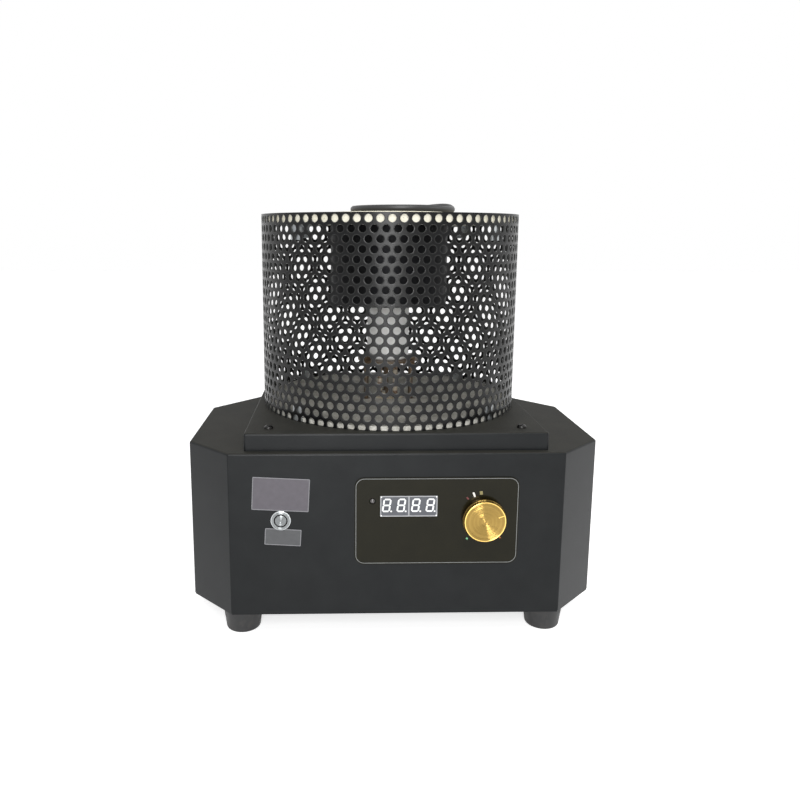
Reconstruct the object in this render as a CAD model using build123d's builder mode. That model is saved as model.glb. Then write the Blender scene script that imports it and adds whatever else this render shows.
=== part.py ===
from build123d import *

import os
from math import atan2, cos, degrees, pi, radians, sin, tan

# Electric gold melting furnace, as an assembly of separate pieces.
# Millimetres, +Z up, front towards -Y. The origin is on the standing surface, under the axis of the
# melting chamber, so every piece of the chamber and its guard is turned about Z.

os.makedirs("parts", exist_ok=True)

# ------------------------------------------------------------------ driving dimensions: housing
sheet = 1.2                 # steel of the shell and the tray
bend_radius = 2.0           # outside radius of a folded edge
body_width = 376.0
body_front = -140.0         # front face, measured from the chamber's axis
body_rear = 150.1
shell_height = 149.0
front_cut_width = 40.5      # 45 degree cut of the two front corners
rear_cut_width = 104.0      # cut of the two rear corners, across
rear_cut_length = 121.5     # and along
return_flange = 12.0        # flange folded in under the shell
plate_thickness = 1.5
plate_inset = 0.6
foot_height = 22.5
foot_top_radius = 18.5
foot_bottom_radius = 15.5
foot_edge = 2.0             # rounding of the rubber's lower edge
foot_bore_radius = 6.5
foot_floor = 7.0            # rubber left under the washer
foot_inset = 24.0           # foot centre from the front and the rear face
foot_side_inset = 48.0      # front foot centre from the side face
rear_foot_inset = 22.0      # rear foot centre from the end of the rear face
washer_radius = 6.2
washer_thickness = 1.2
tray_height = 16.0
tray_width = 268.4
tray_inset = 7.2            # tray's edge inside the shell's edge, front and rear

# ------------------------------------------------------------------ driving dimensions: fits
touch_gap = 0.3             # between neighbours that only pass each other
hole_gap = 0.1              # between a shank or shaft and its hole, on the radius
running_gap = 0.05          # between a moving piece and its guide, on the radius

# ------------------------------------------------------------------ driving dimensions: screws
m4_radius = 2.0
m4_head_radius = 4.2
m4_head_height = 2.6
m3_radius = 1.5
m3_head_radius = 2.9
m3_head_height = 2.0
head_crown = 1.1            # bevel of a screw head's top edge
screw_point = 3.0           # thread beyond what a screw holds
tray_screw_inset = 20.4     # front screws from the tray's side edge
tray_screw_front = 24.8     # front screws behind the shell's front face
rear_screw_inset = 82.0     # rear screws from the shell's side face
rear_screw_rear = 58.0      # rear screws before the shell's rear face
tray_screw_length = 22.0

# ------------------------------------------------------------------ driving dimensions: guard
guard_radius = 128.0
guard_sheet = 1.0
guard_height = 190.0
seam_lap = 14.0
seam_margin = 2.0           # lap's ends from the two boards
bracket_leg = 14.0
bracket_width = 12.0
bracket_sheet = 1.2
bracket_turn = 45.0         # first bracket's angle round the axis
bracket_count = 4
floor_board_thickness = 4.0
floor_board_gap = 1.5
top_board_thickness = 9.5
top_board_gap = 0.8
top_board_drop = 0.5        # top board under the guard's rim
top_board_edge = 0.8        # bevel of the board's upper edges
mouth_radius = 29.0
mouth_ring_radius = 58.0    # loose ring round the mouth, on the top board
mouth_ring_height = 3.0
mouth_ring_edge = 0.5

# ------------------------------------------------------------------ driving dimensions: chamber
can_radius = 59.0
can_sheet = 0.8
can_height = 78.0
can_lip = 7.0
can_edge = 0.7              # outside radius of the spun can's bottom corner
base_packing = 12.0
muffle_wall = 7.0
muffle_bore = 28.0
muffle_floor_height = 6.0
coil_wire_radius = 1.3
coil_turns = 6
coil_end_gap = 6.0           # first and last turn from the muffle's ends
crucible_height = 55.0
crucible_foot_radius = 19.0
crucible_rim_radius = 24.0
crucible_wall = 4.5
crucible_floor = 7.0
crucible_edge = 1.2         # bevel of the crucible's rim
pedestal_height = 57.5
pedestal_radius = 21.5
pedestal_wall = 6.0
pedestal_edge = 1.2         # bevel of the tube's outer edges
pedestal_ring_thickness = 2.0
pedestal_ring_radius = 31.0
stud_radius = 2.5
stud_circle_radius = 26.3
stud_count = 3
stud_turn = 90.0            # first stud's angle round the axis
stud_point = 2.0            # stud above its top nut
nut_height = 4.0
nut_across_flats = 8.0
lead_radius = 2.5
lead_offset = 8.0
probe_radius = 1.6
probe_offset = 8.5
lead_bore = 13.0            # bore that the leads pass through, ring and can
grommet_lip = 3.0
grommet_wall = 2.0

# ------------------------------------------------------------------ driving dimensions: front
panel_width = 145.0
panel_height = 80.5
panel_corner = 8.6
panel_thickness = 1.0
panel_centre_x = 35.3
panel_centre_height = 110.9
display_width = 50.3
display_height = 19.0
display_depth = 8.0
display_proud = 0.8
display_left = 24.8         # display's centre to the left of the panel's centre
display_rise = 13.9         # and above it
lamp_radius = 2.5
lamp_proud = 1.0            # lamp's dome beyond the panel
lamp_left = 56.9            # lamp to the left of the panel's centre
lamp_rise = 18.8
knob_right = 41.4           # knob to the right of the panel's centre
knob_rise = 2.4
knob_radius = 19.3
knob_face_radius = 18.1
knob_height = 8.5
knob_skirt = 4.7            # straight part of the knob's side, from its back
knob_edge = 0.4
knob_land = 0.5             # flat ring round the knob's dished face
knob_dish = 0.4
knob_air = 0.6              # between the knob and the panel
knob_recess_radius = 9.0
knob_recess_depth = 3.2
knob_face_thickness = 1.6
knob_index_angle = 17.0     # index mark above the horizontal
knob_index_margin = 0.6     # mark's outer end from the face's edge
knob_index_length = 4.2
knob_index_width = 0.9
knob_index_depth = 0.3
shaft_radius = 3.0
bushing_radius = 3.5
bushing_proud = 0.5         # bushing beyond its nut
pot_radius = 8.0
pot_depth = 9.0
pot_wafer_depth = 6.3       # front of the pot's closed end
pot_nut_flats = 10.0
pot_nut_height = 2.0
pot_tab_count = 3
pot_tab_pitch = 5.0
pot_tab_width = 1.2
pot_tab_reach = 5.5         # solder tabs below the pot's body
pot_tab_root = 1.5          # and inside it
pot_tab_thickness = 0.8
grub_radius = 1.2
grub_length = 6.0
button_side = 85.9          # button's axis from the shell's left side face
button_rise = 88.3          # and above the shell's bottom edge
button_flange_radius = 9.0
button_flange_height = 2.0
button_rim_height = 0.9     # straight part of the flange's rim
button_shoulder = 1.4       # width of the flange's rounded shoulder
button_mouth_edge = 0.4
button_barrel_radius = 7.9
button_barrel_length = 22.0
button_cap_radius = 5.7
button_cap_thickness = 4.0
button_cap_edge = 0.4
button_cap_drop = 0.3       # cap's face behind the flange's face
button_guide_depth = 12.0   # bore that the cap slides in
button_travel = 2.5
button_stem_radius = 2.5
button_nut_flats = 19.0
button_nut_height = 2.5
spring_radius = 4.2
spring_wire = 0.4
spring_turns = 4
contact_depth = 11.0
contact_step = 0.4          # contact block's side inside the barrel's
contact_pocket_depth = 6.0  # room for the stem at full travel
contact_tab_pitch = 8.0
contact_tab_width = 1.0
contact_tab_height = 5.0
contact_tab_reach = 6.0

# ------------------------------------------------------------------ driving dimensions: inside
board_thickness = 1.6
control_board_width = 88.0
control_board_height = 66.0
control_board_left = 25.3   # board's centre to the left of the panel's centre
control_board_rise = 7.1
chip_place = (-12.0, -14.0)             # processor, from the board's centre
chip_size = (18.0, 7.5)
header_place = (22.0, -20.0)            # plug header
header_size = (20.0, 6.0)
chip_thickness = 3.5
board_capacitor_place = (18.0, 12.0)
board_capacitor_radius = 5.0
board_capacitor_height = 12.0
spacer_radius = 3.0
board_edge = 5.0            # spacer centre from a board's edges
power_board_side = 37.0     # board's edge from the shell's left side face
power_board_width = 118.0
power_board_length = 92.0
power_board_lift = 10.0
relay_place = (34.0, 22.0)              # from the power board's centre
relay_size = (28.0, 12.0)
relay_height = 18.0
capacitor_places = [(40.0, -6.0), (26.0, -6.0)]
capacitor_radius = 6.0
capacitor_height = 22.0
connector_place = (-20.0, -34.0)
connector_size = (50.0, 10.0)
connector_height = 11.0
transformer_width = 42.0
transformer_length = 35.0
transformer_height = 32.0
core_thickness = 14.0
bobbin_width = 27.0
bobbin_height = 19.0
bobbin_corner = 4.0
fuse_place = (26.0, -26.0)              # from the power board's centre
fuse_length = 20.0
fuse_radius = 3.0
fuse_lift = 6.0             # fuse's axis above the board
fuse_base_height = 2.0
fuse_clip_thickness = 2.0
fuse_clip_width = 7.8
heatsink_side = 84.0        # middle of its base from the shell's right side face
heatsink_rear = 124.1       # its middle before the shell's rear face
heatsink_length = 84.0
heatsink_height = 62.0
heatsink_base = 6.0
fin_height = 26.0
fin_thickness = 1.8
fin_count = 9
triac_width = 15.6
triac_height = 20.0
triac_thickness = 4.6
triac_corner = 0.8
triac_hole_radius = 1.7
triac_level = 37.0          # triac's centre up the heatsink
triac_lead_count = 3
triac_lead_pitch = 5.4
triac_lead_width = 1.2
triac_lead_length = 10.0
triac_lead_thickness = 0.6
terminal_width = 52.0
terminal_depth = 24.0
terminal_height = 24.0
terminal_poles = 4
terminal_barrier = 1.6
terminal_well_width = 5.3
terminal_well_depth = 10.8
terminal_well_offset = 9.4  # wells' centre line from the block's

# ------------------------------------------------------------------ driving dimensions: cord
cord_radius = 3.2
gland_x = 34.0
gland_rise = 36.0           # gland's axis above the shell's bottom edge
first_run_length = 32.0     # cord's straight run out of the gland
gland_radius = 9.0
gland_edge = 1.0
gland_body = 8.0
gland_tail = 20.0
gland_root_radius = 6.2     # tapered tail, where it leaves the body
gland_tip_radius = 4.0
gland_thread_radius = 7.5
gland_thread_length = 9.0
gland_nut_flats = 19.0
gland_nut_height = 4.0
coil_centre_x = 12.0
coil_centre_y = 8.0
coil_mean_radius = 47.0
coil_section_width = 13.2
coil_section_height = 6.6
coil_section_corner = 1.8
plug_length = 34.0
plug_neck_length = 12.0
plug_neck_radius = 5.0
plug_shoulder_width = 20.0
plug_shoulder_thickness = 14.4
plug_corner = 5.0
plug_width = 25.0
plug_thickness = 18.0
plug_pin_length = 17.0
plug_pin_width = 6.3
plug_pin_thickness = 1.5
plug_pin_spacing = 12.7

# ------------------------------------------------------------------ levels that follow
shell_bottom = foot_height + plate_thickness
shell_top = shell_bottom + shell_height
tray_top = shell_top + tray_height
guard_top = tray_top + guard_height
board_top = guard_top - top_board_drop
board_bottom = board_top - top_board_thickness
can_bottom = board_bottom - can_height
pedestal_bottom = can_bottom - pedestal_height
ring_bottom = pedestal_bottom - pedestal_ring_thickness
floor_top = tray_top + floor_board_thickness
muffle_bottom = can_bottom + can_sheet + base_packing
crucible_bottom = muffle_bottom + muffle_floor_height
muffle_radius = muffle_bore + muffle_wall
element_radius = muffle_radius + coil_wire_radius + touch_gap
packing_bore = element_radius + coil_wire_radius + touch_gap
inner_front = body_front + sheet
panel_front = body_front - panel_thickness
control_board_front = body_front - display_proud + display_depth
guard_bore = guard_radius - guard_sheet
terminal_top = shell_bottom + terminal_height
half_width = body_width / 2
rear_half_width = half_width - rear_cut_width
gland_z = shell_bottom + gland_rise

# places on the front face, from left to right
button_x = button_side - half_width
button_z = shell_bottom + button_rise
lamp_x = panel_centre_x - lamp_left
lamp_z = panel_centre_height + lamp_rise
display_x = panel_centre_x - display_left
display_z = panel_centre_height + display_rise
knob_x = panel_centre_x + knob_right
knob_z = panel_centre_height + knob_rise

front_face = Plane(origin=(0, body_front, 0), x_dir=(1, 0, 0), z_dir=(0, -1, 0))
tray_screw_x = tray_width / 2 - tray_screw_inset
rear_screw_x = half_width - rear_screw_inset
tray_screw_places = [
    (tray_screw_x, body_front + tray_screw_front),
    (-tray_screw_x, body_front + tray_screw_front),
    (rear_screw_x, body_rear - rear_screw_rear),
    (-rear_screw_x, body_rear - rear_screw_rear),
]
foot_x = half_width - foot_side_inset
rear_foot_x = rear_half_width - rear_foot_inset
foot_places = {
    "foot_front_left": (-foot_x, body_front + foot_inset),
    "foot_front_right": (foot_x, body_front + foot_inset),
    "foot_rear_left": (-rear_foot_x, body_rear - foot_inset),
    "foot_rear_right": (rear_foot_x, body_rear - foot_inset),
}


def housing_outline():
    """Corners of the shell's plan: a rectangle with its front and rear corners cut."""
    right = [
        (half_width - front_cut_width, body_front),
        (half_width, body_front + front_cut_width),
        (half_width, body_rear - rear_cut_length),
        (rear_half_width, body_rear),
    ]
    left = [(-x, y) for x, y in reversed(right)]
    return right + left


def plate_screw_places(inset):
    """One screw near each end of the shell's straight sides, on the return flange."""
    side = half_width - inset
    side_front = body_front + front_cut_width + inset
    side_rear = body_rear - rear_cut_length - inset
    places = []
    for hand in (-1, 1):
        places += [(hand * foot_x / 2, body_front + inset), (hand * side, side_front), (hand * side, side_rear)]
        places += [(hand * (rear_half_width - inset) / 2, body_rear - inset)]
    return places


def screw(shank_radius, head_radius, head_height, length):
    """A pan-head screw, head up, with the underside of its head at the origin."""
    with BuildPart() as piece:
        with BuildSketch(Plane.XZ):
            with BuildLine():
                Polyline(
                    (0, head_height),
                    (0, -length),
                    (shank_radius, -length),
                    (shank_radius, 0),
                    (head_radius, 0),
                    (head_radius, head_height - head_crown),
                    (head_radius - head_crown, head_height),
                    close=True,
                )
            make_face()
        revolve(axis=Axis.Z)
    return piece.part


def spaced_turns(count, first):
    """Angles of a number of equal steps round the axis."""
    return [first + 360 / count * step for step in range(count)]


# ------------------------------------------------------------------ housing
with BuildPart() as base_shell:
    with BuildSketch(Plane.XY.offset(shell_bottom)):
        Polygon(*housing_outline(), align=None)
    extrude(amount=shell_height)
    fillet(base_shell.edges().filter_by(Axis.Z), bend_radius)
    fillet(base_shell.faces().sort_by(Axis.Z)[-1].edges(), bend_radius)
    with BuildSketch(Plane.XY.offset(shell_bottom + sheet)):
        Polygon(*housing_outline(), align=None)
        offset(amount=-sheet, kind=Kind.INTERSECTION)
    extrude(amount=shell_height - 2 * sheet, mode=Mode.SUBTRACT)
    with BuildSketch(Plane.XY.offset(shell_bottom)):
        Polygon(*housing_outline(), align=None)
        offset(amount=-return_flange, kind=Kind.INTERSECTION)
    extrude(amount=sheet, mode=Mode.SUBTRACT)
    # openings of the front face: display, lamp, potentiometer and push button
    with BuildSketch(front_face):
        with Locations((display_x, display_z)):
            Rectangle(display_width + 2 * touch_gap, display_height + 2 * touch_gap)
        with Locations((lamp_x, lamp_z)):
            Circle(lamp_radius + touch_gap)
        with Locations((knob_x, knob_z)):
            Circle(bushing_radius + hole_gap)
        with Locations((button_x, button_z)):
            Circle(button_barrel_radius + hole_gap)
    extrude(amount=-sheet, mode=Mode.SUBTRACT)
    # openings of the top: leads, and the tray's screws
    with BuildSketch(Plane.XY.offset(shell_top)):
        Circle(lead_bore + grommet_wall)
        with Locations(*tray_screw_places):
            Circle(m4_radius + hole_gap)
    extrude(amount=-sheet, mode=Mode.SUBTRACT)
    # screw holes of the return flange
    with BuildSketch(Plane.XY.offset(shell_bottom)):
        with Locations(*plate_screw_places(return_flange / 2)):
            Circle(m3_radius + hole_gap)
    extrude(amount=sheet, mode=Mode.SUBTRACT)
    # hole of the cord gland, in the rear face
    with BuildSketch(Plane(origin=(0, body_rear, 0), x_dir=(1, 0, 0), z_dir=(0, -1, 0))):
        with Locations((gland_x, gland_z)):
            Circle(gland_thread_radius + hole_gap)
    extrude(amount=sheet, mode=Mode.SUBTRACT)

with BuildPart() as base_plate:
    with BuildSketch(Plane.XY.offset(foot_height)):
        Polygon(*housing_outline(), align=None)
        offset(amount=-plate_inset, kind=Kind.INTERSECTION)
        with Locations(*plate_screw_places(return_flange / 2)):
            Circle(m3_radius + hole_gap, mode=Mode.SUBTRACT)
        with Locations(*foot_places.values()):
            Circle(m4_radius + hole_gap, mode=Mode.SUBTRACT)
    extrude(amount=plate_thickness)

with BuildPart() as base_plate_screws:
    plate_screw_length = plate_thickness + sheet + screw_point
    plate_screw = screw(m3_radius, m3_head_radius, m3_head_height, plate_screw_length)
    with Locations(*[(x, y, foot_height) for x, y in plate_screw_places(return_flange / 2)]):
        add(plate_screw, rotation=(180, 0, 0))

feet = {}
for foot_name, (foot_place_x, foot_place_y) in foot_places.items():
    with BuildPart() as foot:
        with BuildSketch(Plane((foot_place_x, foot_place_y, 0))):
            Circle(foot_bottom_radius)
        with BuildSketch(Plane((foot_place_x, foot_place_y, foot_height))):
            Circle(foot_top_radius)
        loft()
        fillet(foot.edges().sort_by(Axis.Z)[0], foot_edge)
        with BuildSketch(Plane((foot_place_x, foot_place_y, 0))):
            Circle(foot_bore_radius)
        extrude(amount=foot_floor, mode=Mode.SUBTRACT)
        with BuildSketch(Plane((foot_place_x, foot_place_y, 0))):
            Circle(m4_radius + hole_gap)
        extrude(amount=foot_height, mode=Mode.SUBTRACT)
    feet[foot_name] = foot

with BuildPart() as foot_washers:
    with Locations(*[(x, y, foot_floor - washer_thickness / 2) for x, y in foot_places.values()]):
        Cylinder(washer_radius, washer_thickness)
        Cylinder(m4_radius + hole_gap, washer_thickness, mode=Mode.SUBTRACT)

with BuildPart() as foot_screws:
    foot_screw_length = foot_height - foot_floor + washer_thickness + plate_thickness + screw_point
    foot_screw = screw(m4_radius, m4_head_radius, m4_head_height, foot_screw_length)
    with Locations(*[(x, y, foot_floor - washer_thickness) for x, y in foot_places.values()]):
        add(foot_screw, rotation=(180, 0, 0))

with BuildPart() as top_tray:
    with BuildSketch(Plane.XY.offset(shell_top)) as tray_plan:
        Polygon(*housing_outline(), align=None)
        offset(amount=-tray_inset, kind=Kind.INTERSECTION)
        Rectangle(tray_width, 2 * body_width, mode=Mode.INTERSECT)
    extrude(amount=tray_height)
    fillet(top_tray.edges().filter_by(Axis.Z), bend_radius)
    fillet(top_tray.faces().sort_by(Axis.Z)[-1].edges(), bend_radius)
    with BuildSketch(Plane.XY.offset(shell_top)):
        add(tray_plan.sketch.faces())
        offset(amount=-sheet, kind=Kind.INTERSECTION)
    extrude(amount=tray_height - sheet, mode=Mode.SUBTRACT)
    with BuildSketch(Plane.XY.offset(tray_top)):
        Circle(lead_bore + grommet_wall)
        with Locations(*tray_screw_places):
            Circle(m4_radius + hole_gap)
        with PolarLocations(guard_bore - bracket_leg / 2, bracket_count, bracket_turn):
            Circle(m3_radius + hole_gap)
    extrude(amount=-sheet, mode=Mode.SUBTRACT)

with BuildPart() as tray_screws:
    tray_screw = screw(m4_radius, m4_head_radius, m4_head_height, tray_screw_length)
    with Locations(*[(x, y, tray_top) for x, y in tray_screw_places]):
        add(tray_screw)

# ------------------------------------------------------------------ guard and its boards
with BuildPart() as guard:
    with BuildSketch(Plane.XY.offset(tray_top)):
        Circle(guard_radius)
        Circle(guard_bore, mode=Mode.SUBTRACT)
    extrude(amount=guard_height)
    # the rolled sheet's other end lies inside the first, in a lap at the rear
    with BuildSketch(Plane.XY.offset(floor_top + seam_margin)):
        Circle(guard_bore)
        Circle(guard_bore - guard_sheet, mode=Mode.SUBTRACT)
        with Locations((0, guard_bore)):
            Rectangle(seam_lap, 4 * guard_sheet, mode=Mode.INTERSECT)
    extrude(amount=board_bottom - floor_top - 2 * seam_margin)


def bracket_ring(level, upward):
    """Angle brackets round the guard's inside: one leg on the wall, the other level."""
    rise = 1 if upward else -1
    with BuildPart() as ring:
        with BuildSketch(Plane.XZ):
            with BuildLine():
                Polyline(
                    (guard_bore - touch_gap, level),
                    (guard_bore - touch_gap, level + rise * bracket_leg),
                    (guard_bore - touch_gap - bracket_sheet, level + rise * bracket_leg),
                    (guard_bore - touch_gap - bracket_sheet, level + rise * bracket_sheet),
                    (guard_bore - bracket_leg, level + rise * bracket_sheet),
                    (guard_bore - bracket_leg, level),
                    close=True,
                )
            make_face()
        extrude(amount=bracket_width / 2, both=True)
        with BuildSketch(Plane.XY.offset(level)):
            with Locations((guard_bore - bracket_leg / 2, 0)):
                Circle(m3_radius + hole_gap)
        extrude(amount=rise * bracket_sheet, mode=Mode.SUBTRACT)
    one = ring.part
    with BuildPart() as brackets:
        for turn in spaced_turns(bracket_count, bracket_turn):
            add(one, rotation=(0, 0, turn))
        with BuildSketch(Plane.XY.offset(level)):
            Circle(guard_radius)
            Circle(guard_bore, mode=Mode.SUBTRACT)
        extrude(amount=rise * bracket_leg, mode=Mode.SUBTRACT)
    return brackets.part


with BuildPart() as guard_brackets:
    add(bracket_ring(tray_top, upward=True))

with BuildPart() as guard_bracket_screws:
    bracket_screw_length = bracket_sheet + sheet + screw_point
    bracket_screw = screw(m3_radius, m3_head_radius, m3_head_height, bracket_screw_length)
    with Locations(Plane.XY.offset(tray_top + bracket_sheet)):
        with PolarLocations(guard_bore - bracket_leg / 2, bracket_count, bracket_turn):
            add(bracket_screw)

with BuildPart() as board_brackets:
    add(bracket_ring(board_bottom, upward=False))

with BuildPart() as floor_board:
    with BuildSketch(Plane.XY.offset(tray_top)):
        Circle(guard_bore - floor_board_gap)
        Circle(lead_bore + grommet_wall + grommet_lip + touch_gap, mode=Mode.SUBTRACT)
        with PolarLocations(guard_bore, bracket_count, bracket_turn):
            Rectangle(
                2 * bracket_leg + 2 * touch_gap,
                bracket_width + 2 * touch_gap,
                mode=Mode.SUBTRACT,
            )
        with PolarLocations(stud_circle_radius, stud_count, stud_turn):
            RegularPolygon(nut_across_flats / 2 + 2 * touch_gap, 6, major_radius=False, mode=Mode.SUBTRACT)
    extrude(amount=floor_board_thickness)

with BuildPart() as top_board:
    with BuildSketch(Plane.XY.offset(board_bottom)):
        Circle(guard_bore - top_board_gap)
        Circle(mouth_radius, mode=Mode.SUBTRACT)
    extrude(amount=top_board_thickness)
    chamfer(top_board.edges().filter_by(GeomType.CIRCLE).group_by(Axis.Z)[-1], top_board_edge)

with BuildPart() as mouth_ring:
    with BuildSketch(Plane.XY.offset(board_top)):
        Circle(mouth_ring_radius)
        Circle(mouth_radius, mode=Mode.SUBTRACT)
    extrude(amount=mouth_ring_height)
    chamfer(mouth_ring.edges().filter_by(GeomType.CIRCLE).group_by(Axis.Z)[-1], mouth_ring_edge)

# ------------------------------------------------------------------ heating chamber
with BuildPart() as chamber_can:
    with BuildSketch(Plane.XZ):
        with BuildLine():
            Polyline(
                (lead_bore, can_bottom),
                (can_radius, can_bottom),
                (can_radius, board_bottom),
                (can_radius - can_lip, board_bottom),
                (can_radius - can_lip, board_bottom - can_sheet),
                (can_radius - can_sheet, board_bottom - can_sheet),
                (can_radius - can_sheet, can_bottom + can_sheet),
                (lead_bore, can_bottom + can_sheet),
                close=True,
            )
        make_face()
    revolve(axis=Axis.Z)
    bottom_corner = chamber_can.edges().filter_by(GeomType.CIRCLE).group_by(Axis.Z)[0].sort_by(Edge.length)[-1]
    fillet(bottom_corner, can_edge)

with BuildPart() as insulation_base:
    with BuildSketch(Plane.XY.offset(can_bottom + can_sheet)):
        Circle(can_radius - can_sheet - touch_gap)
        with Locations((-lead_offset, 0), (lead_offset, 0)):
            Circle(lead_radius + touch_gap, mode=Mode.SUBTRACT)
        with Locations((0, probe_offset)):
            Circle(probe_radius + touch_gap, mode=Mode.SUBTRACT)
    extrude(amount=base_packing)

with BuildPart() as insulation_sleeve:
    with BuildSketch(Plane.XY.offset(muffle_bottom)):
        Circle(can_radius - can_sheet - touch_gap)
        Circle(packing_bore, mode=Mode.SUBTRACT)
    extrude(amount=board_bottom - can_sheet - touch_gap - muffle_bottom)

with BuildPart() as muffle:
    with BuildSketch(Plane.XY.offset(muffle_bottom)):
        Circle(muffle_radius)
        Circle(muffle_bore, mode=Mode.SUBTRACT)
    extrude(amount=board_bottom - muffle_bottom)

with BuildPart() as muffle_floor:
    with BuildSketch(Plane.XY.offset(muffle_bottom)):
        Circle(muffle_bore - touch_gap)
        with Locations((0, probe_offset)):
            Circle(probe_radius + touch_gap, mode=Mode.SUBTRACT)
    extrude(amount=muffle_floor_height)

# the wound element: a helix of resistance wire round the muffle
element_height = board_bottom - muffle_bottom - 2 * coil_end_gap
with BuildPart() as heating_coil:
    with BuildLine() as winding:
        Helix(
            pitch=element_height / coil_turns,
            height=element_height,
            radius=element_radius,
            center=(0, 0, muffle_bottom + coil_end_gap),
        )
    with BuildSketch(Plane(origin=winding.line @ 0, z_dir=winding.line % 0)):
        RegularPolygon(coil_wire_radius, 4)
    sweep(is_frenet=True)

crucible_top = crucible_bottom + crucible_height
with BuildPart() as crucible:
    with BuildSketch(Plane.XZ):
        with BuildLine():
            Polyline(
                (0, crucible_bottom + crucible_floor),
                (0, crucible_bottom),
                (crucible_foot_radius, crucible_bottom),
                (crucible_rim_radius, crucible_top),
                (crucible_rim_radius - crucible_wall, crucible_top),
                (crucible_foot_radius - crucible_wall, crucible_bottom + crucible_floor),
                close=True,
            )
        make_face()
    revolve(axis=Axis.Z)
    chamfer(crucible.edges().filter_by(GeomType.CIRCLE).sort_by(Axis.Z)[-2:], crucible_edge)

with BuildPart() as pedestal_tube:
    with BuildSketch(Plane.XY.offset(pedestal_bottom)):
        Circle(pedestal_radius)
        Circle(pedestal_radius - pedestal_wall, mode=Mode.SUBTRACT)
    extrude(amount=pedestal_height)
    chamfer(pedestal_tube.edges().filter_by(GeomType.CIRCLE).sort_by(Edge.length)[-2:], pedestal_edge)

with BuildPart() as pedestal_ring:
    with BuildSketch(Plane.XY.offset(ring_bottom)):
        Circle(pedestal_ring_radius)
        Circle(lead_bore, mode=Mode.SUBTRACT)
        with PolarLocations(stud_circle_radius, stud_count, stud_turn):
            Circle(stud_radius + hole_gap, mode=Mode.SUBTRACT)
    extrude(amount=pedestal_ring_thickness)

with BuildPart() as pedestal_studs:
    with BuildSketch(Plane.XY.offset(tray_top)):
        with PolarLocations(stud_circle_radius, stud_count, stud_turn):
            Circle(stud_radius)
    extrude(amount=pedestal_bottom + nut_height + stud_point - tray_top)

with BuildPart() as pedestal_nuts:
    for nut_level in (tray_top, ring_bottom - nut_height, pedestal_bottom):
        with BuildSketch(Plane.XY.offset(nut_level)):
            with PolarLocations(stud_circle_radius, stud_count, stud_turn):
                RegularPolygon(nut_across_flats / 2, 6, major_radius=False)
                Circle(stud_radius, mode=Mode.SUBTRACT)
        extrude(amount=nut_height)

with BuildPart() as heater_leads:
    with BuildSketch(Plane.XY.offset(terminal_top)):
        with Locations((-lead_offset, 0), (lead_offset, 0)):
            Circle(lead_radius)
    extrude(amount=muffle_bottom - terminal_top)

with BuildPart() as thermocouple:
    with BuildSketch(Plane.XY.offset(terminal_top)):
        with Locations((0, probe_offset)):
            Circle(probe_radius)
    extrude(amount=muffle_bottom + muffle_floor_height - terminal_top)

with BuildPart() as lead_grommet:
    with BuildSketch(Plane.XZ):
        with BuildLine():
            Polyline(
                (lead_bore, tray_top - sheet - grommet_lip),
                (lead_bore + grommet_wall, tray_top - sheet - grommet_lip),
                (lead_bore + grommet_wall, tray_top),
                (lead_bore + grommet_wall + grommet_lip, tray_top),
                (lead_bore + grommet_wall, floor_top),
                (lead_bore, floor_top),
                close=True,
            )
        make_face()
    revolve(axis=Axis.Z)

# ------------------------------------------------------------------ front panel
with BuildPart() as panel_overlay:
    with BuildSketch(front_face):
        with Locations((panel_centre_x, panel_centre_height)):
            RectangleRounded(panel_width, panel_height, panel_corner)
        with Locations((display_x, display_z)):
            Rectangle(display_width + 2 * touch_gap, display_height + 2 * touch_gap, mode=Mode.SUBTRACT)
        with Locations((lamp_x, lamp_z)):
            Circle(lamp_radius + touch_gap, mode=Mode.SUBTRACT)
        with Locations((knob_x, knob_z)):
            Circle(bushing_radius + hole_gap, mode=Mode.SUBTRACT)
    extrude(amount=panel_thickness)

with BuildPart() as display_module:
    with BuildSketch(front_face.offset(display_proud)):
        with Locations((display_x, display_z)):
            Rectangle(display_width, display_height)
    extrude(amount=-display_depth)

dome_base = panel_front - lamp_proud + lamp_radius
with BuildPart() as indicator_lamp:
    with BuildSketch(Plane.XY.offset(lamp_z)):
        with BuildLine():
            Polyline(
                (lamp_x, dome_base - lamp_radius),
                (lamp_x, control_board_front),
                (lamp_x + lamp_radius, control_board_front),
                (lamp_x + lamp_radius, dome_base),
            )
            ThreePointArc(
                (lamp_x + lamp_radius, dome_base),
                (lamp_x + lamp_radius * cos(radians(45)), dome_base - lamp_radius * sin(radians(45))),
                (lamp_x, dome_base - lamp_radius),
            )
        make_face()
    revolve(axis=Axis((lamp_x, 0, lamp_z), (0, 1, 0)))

wafer_front = inner_front + pot_wafer_depth
bushing_front = panel_front - pot_nut_height - bushing_proud
knob_axis = Axis((knob_x, 0, knob_z), (0, 1, 0))
with BuildPart() as pot_body:
    with BuildSketch(Plane.XY.offset(knob_z)):
        with BuildLine():
            Polyline(
                (knob_x + shaft_radius + running_gap, wafer_front),
                (knob_x + shaft_radius + running_gap, bushing_front),
                (knob_x + bushing_radius, bushing_front),
                (knob_x + bushing_radius, inner_front),
                (knob_x + pot_radius, inner_front),
                (knob_x + pot_radius, inner_front + pot_depth),
                (knob_x, inner_front + pot_depth),
                (knob_x, wafer_front),
                close=True,
            )
        make_face()
    revolve(axis=knob_axis)
    # solder tabs, down from the body
    with BuildSketch(Plane.XZ.offset(-(inner_front + pot_depth / 2))):
        with Locations((knob_x, knob_z - pot_radius - (pot_tab_reach - pot_tab_root) / 2)):
            with GridLocations(pot_tab_pitch, 0, pot_tab_count, 1):
                Rectangle(pot_tab_width, pot_tab_reach + pot_tab_root)
    extrude(amount=pot_tab_thickness / 2, both=True)

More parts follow.
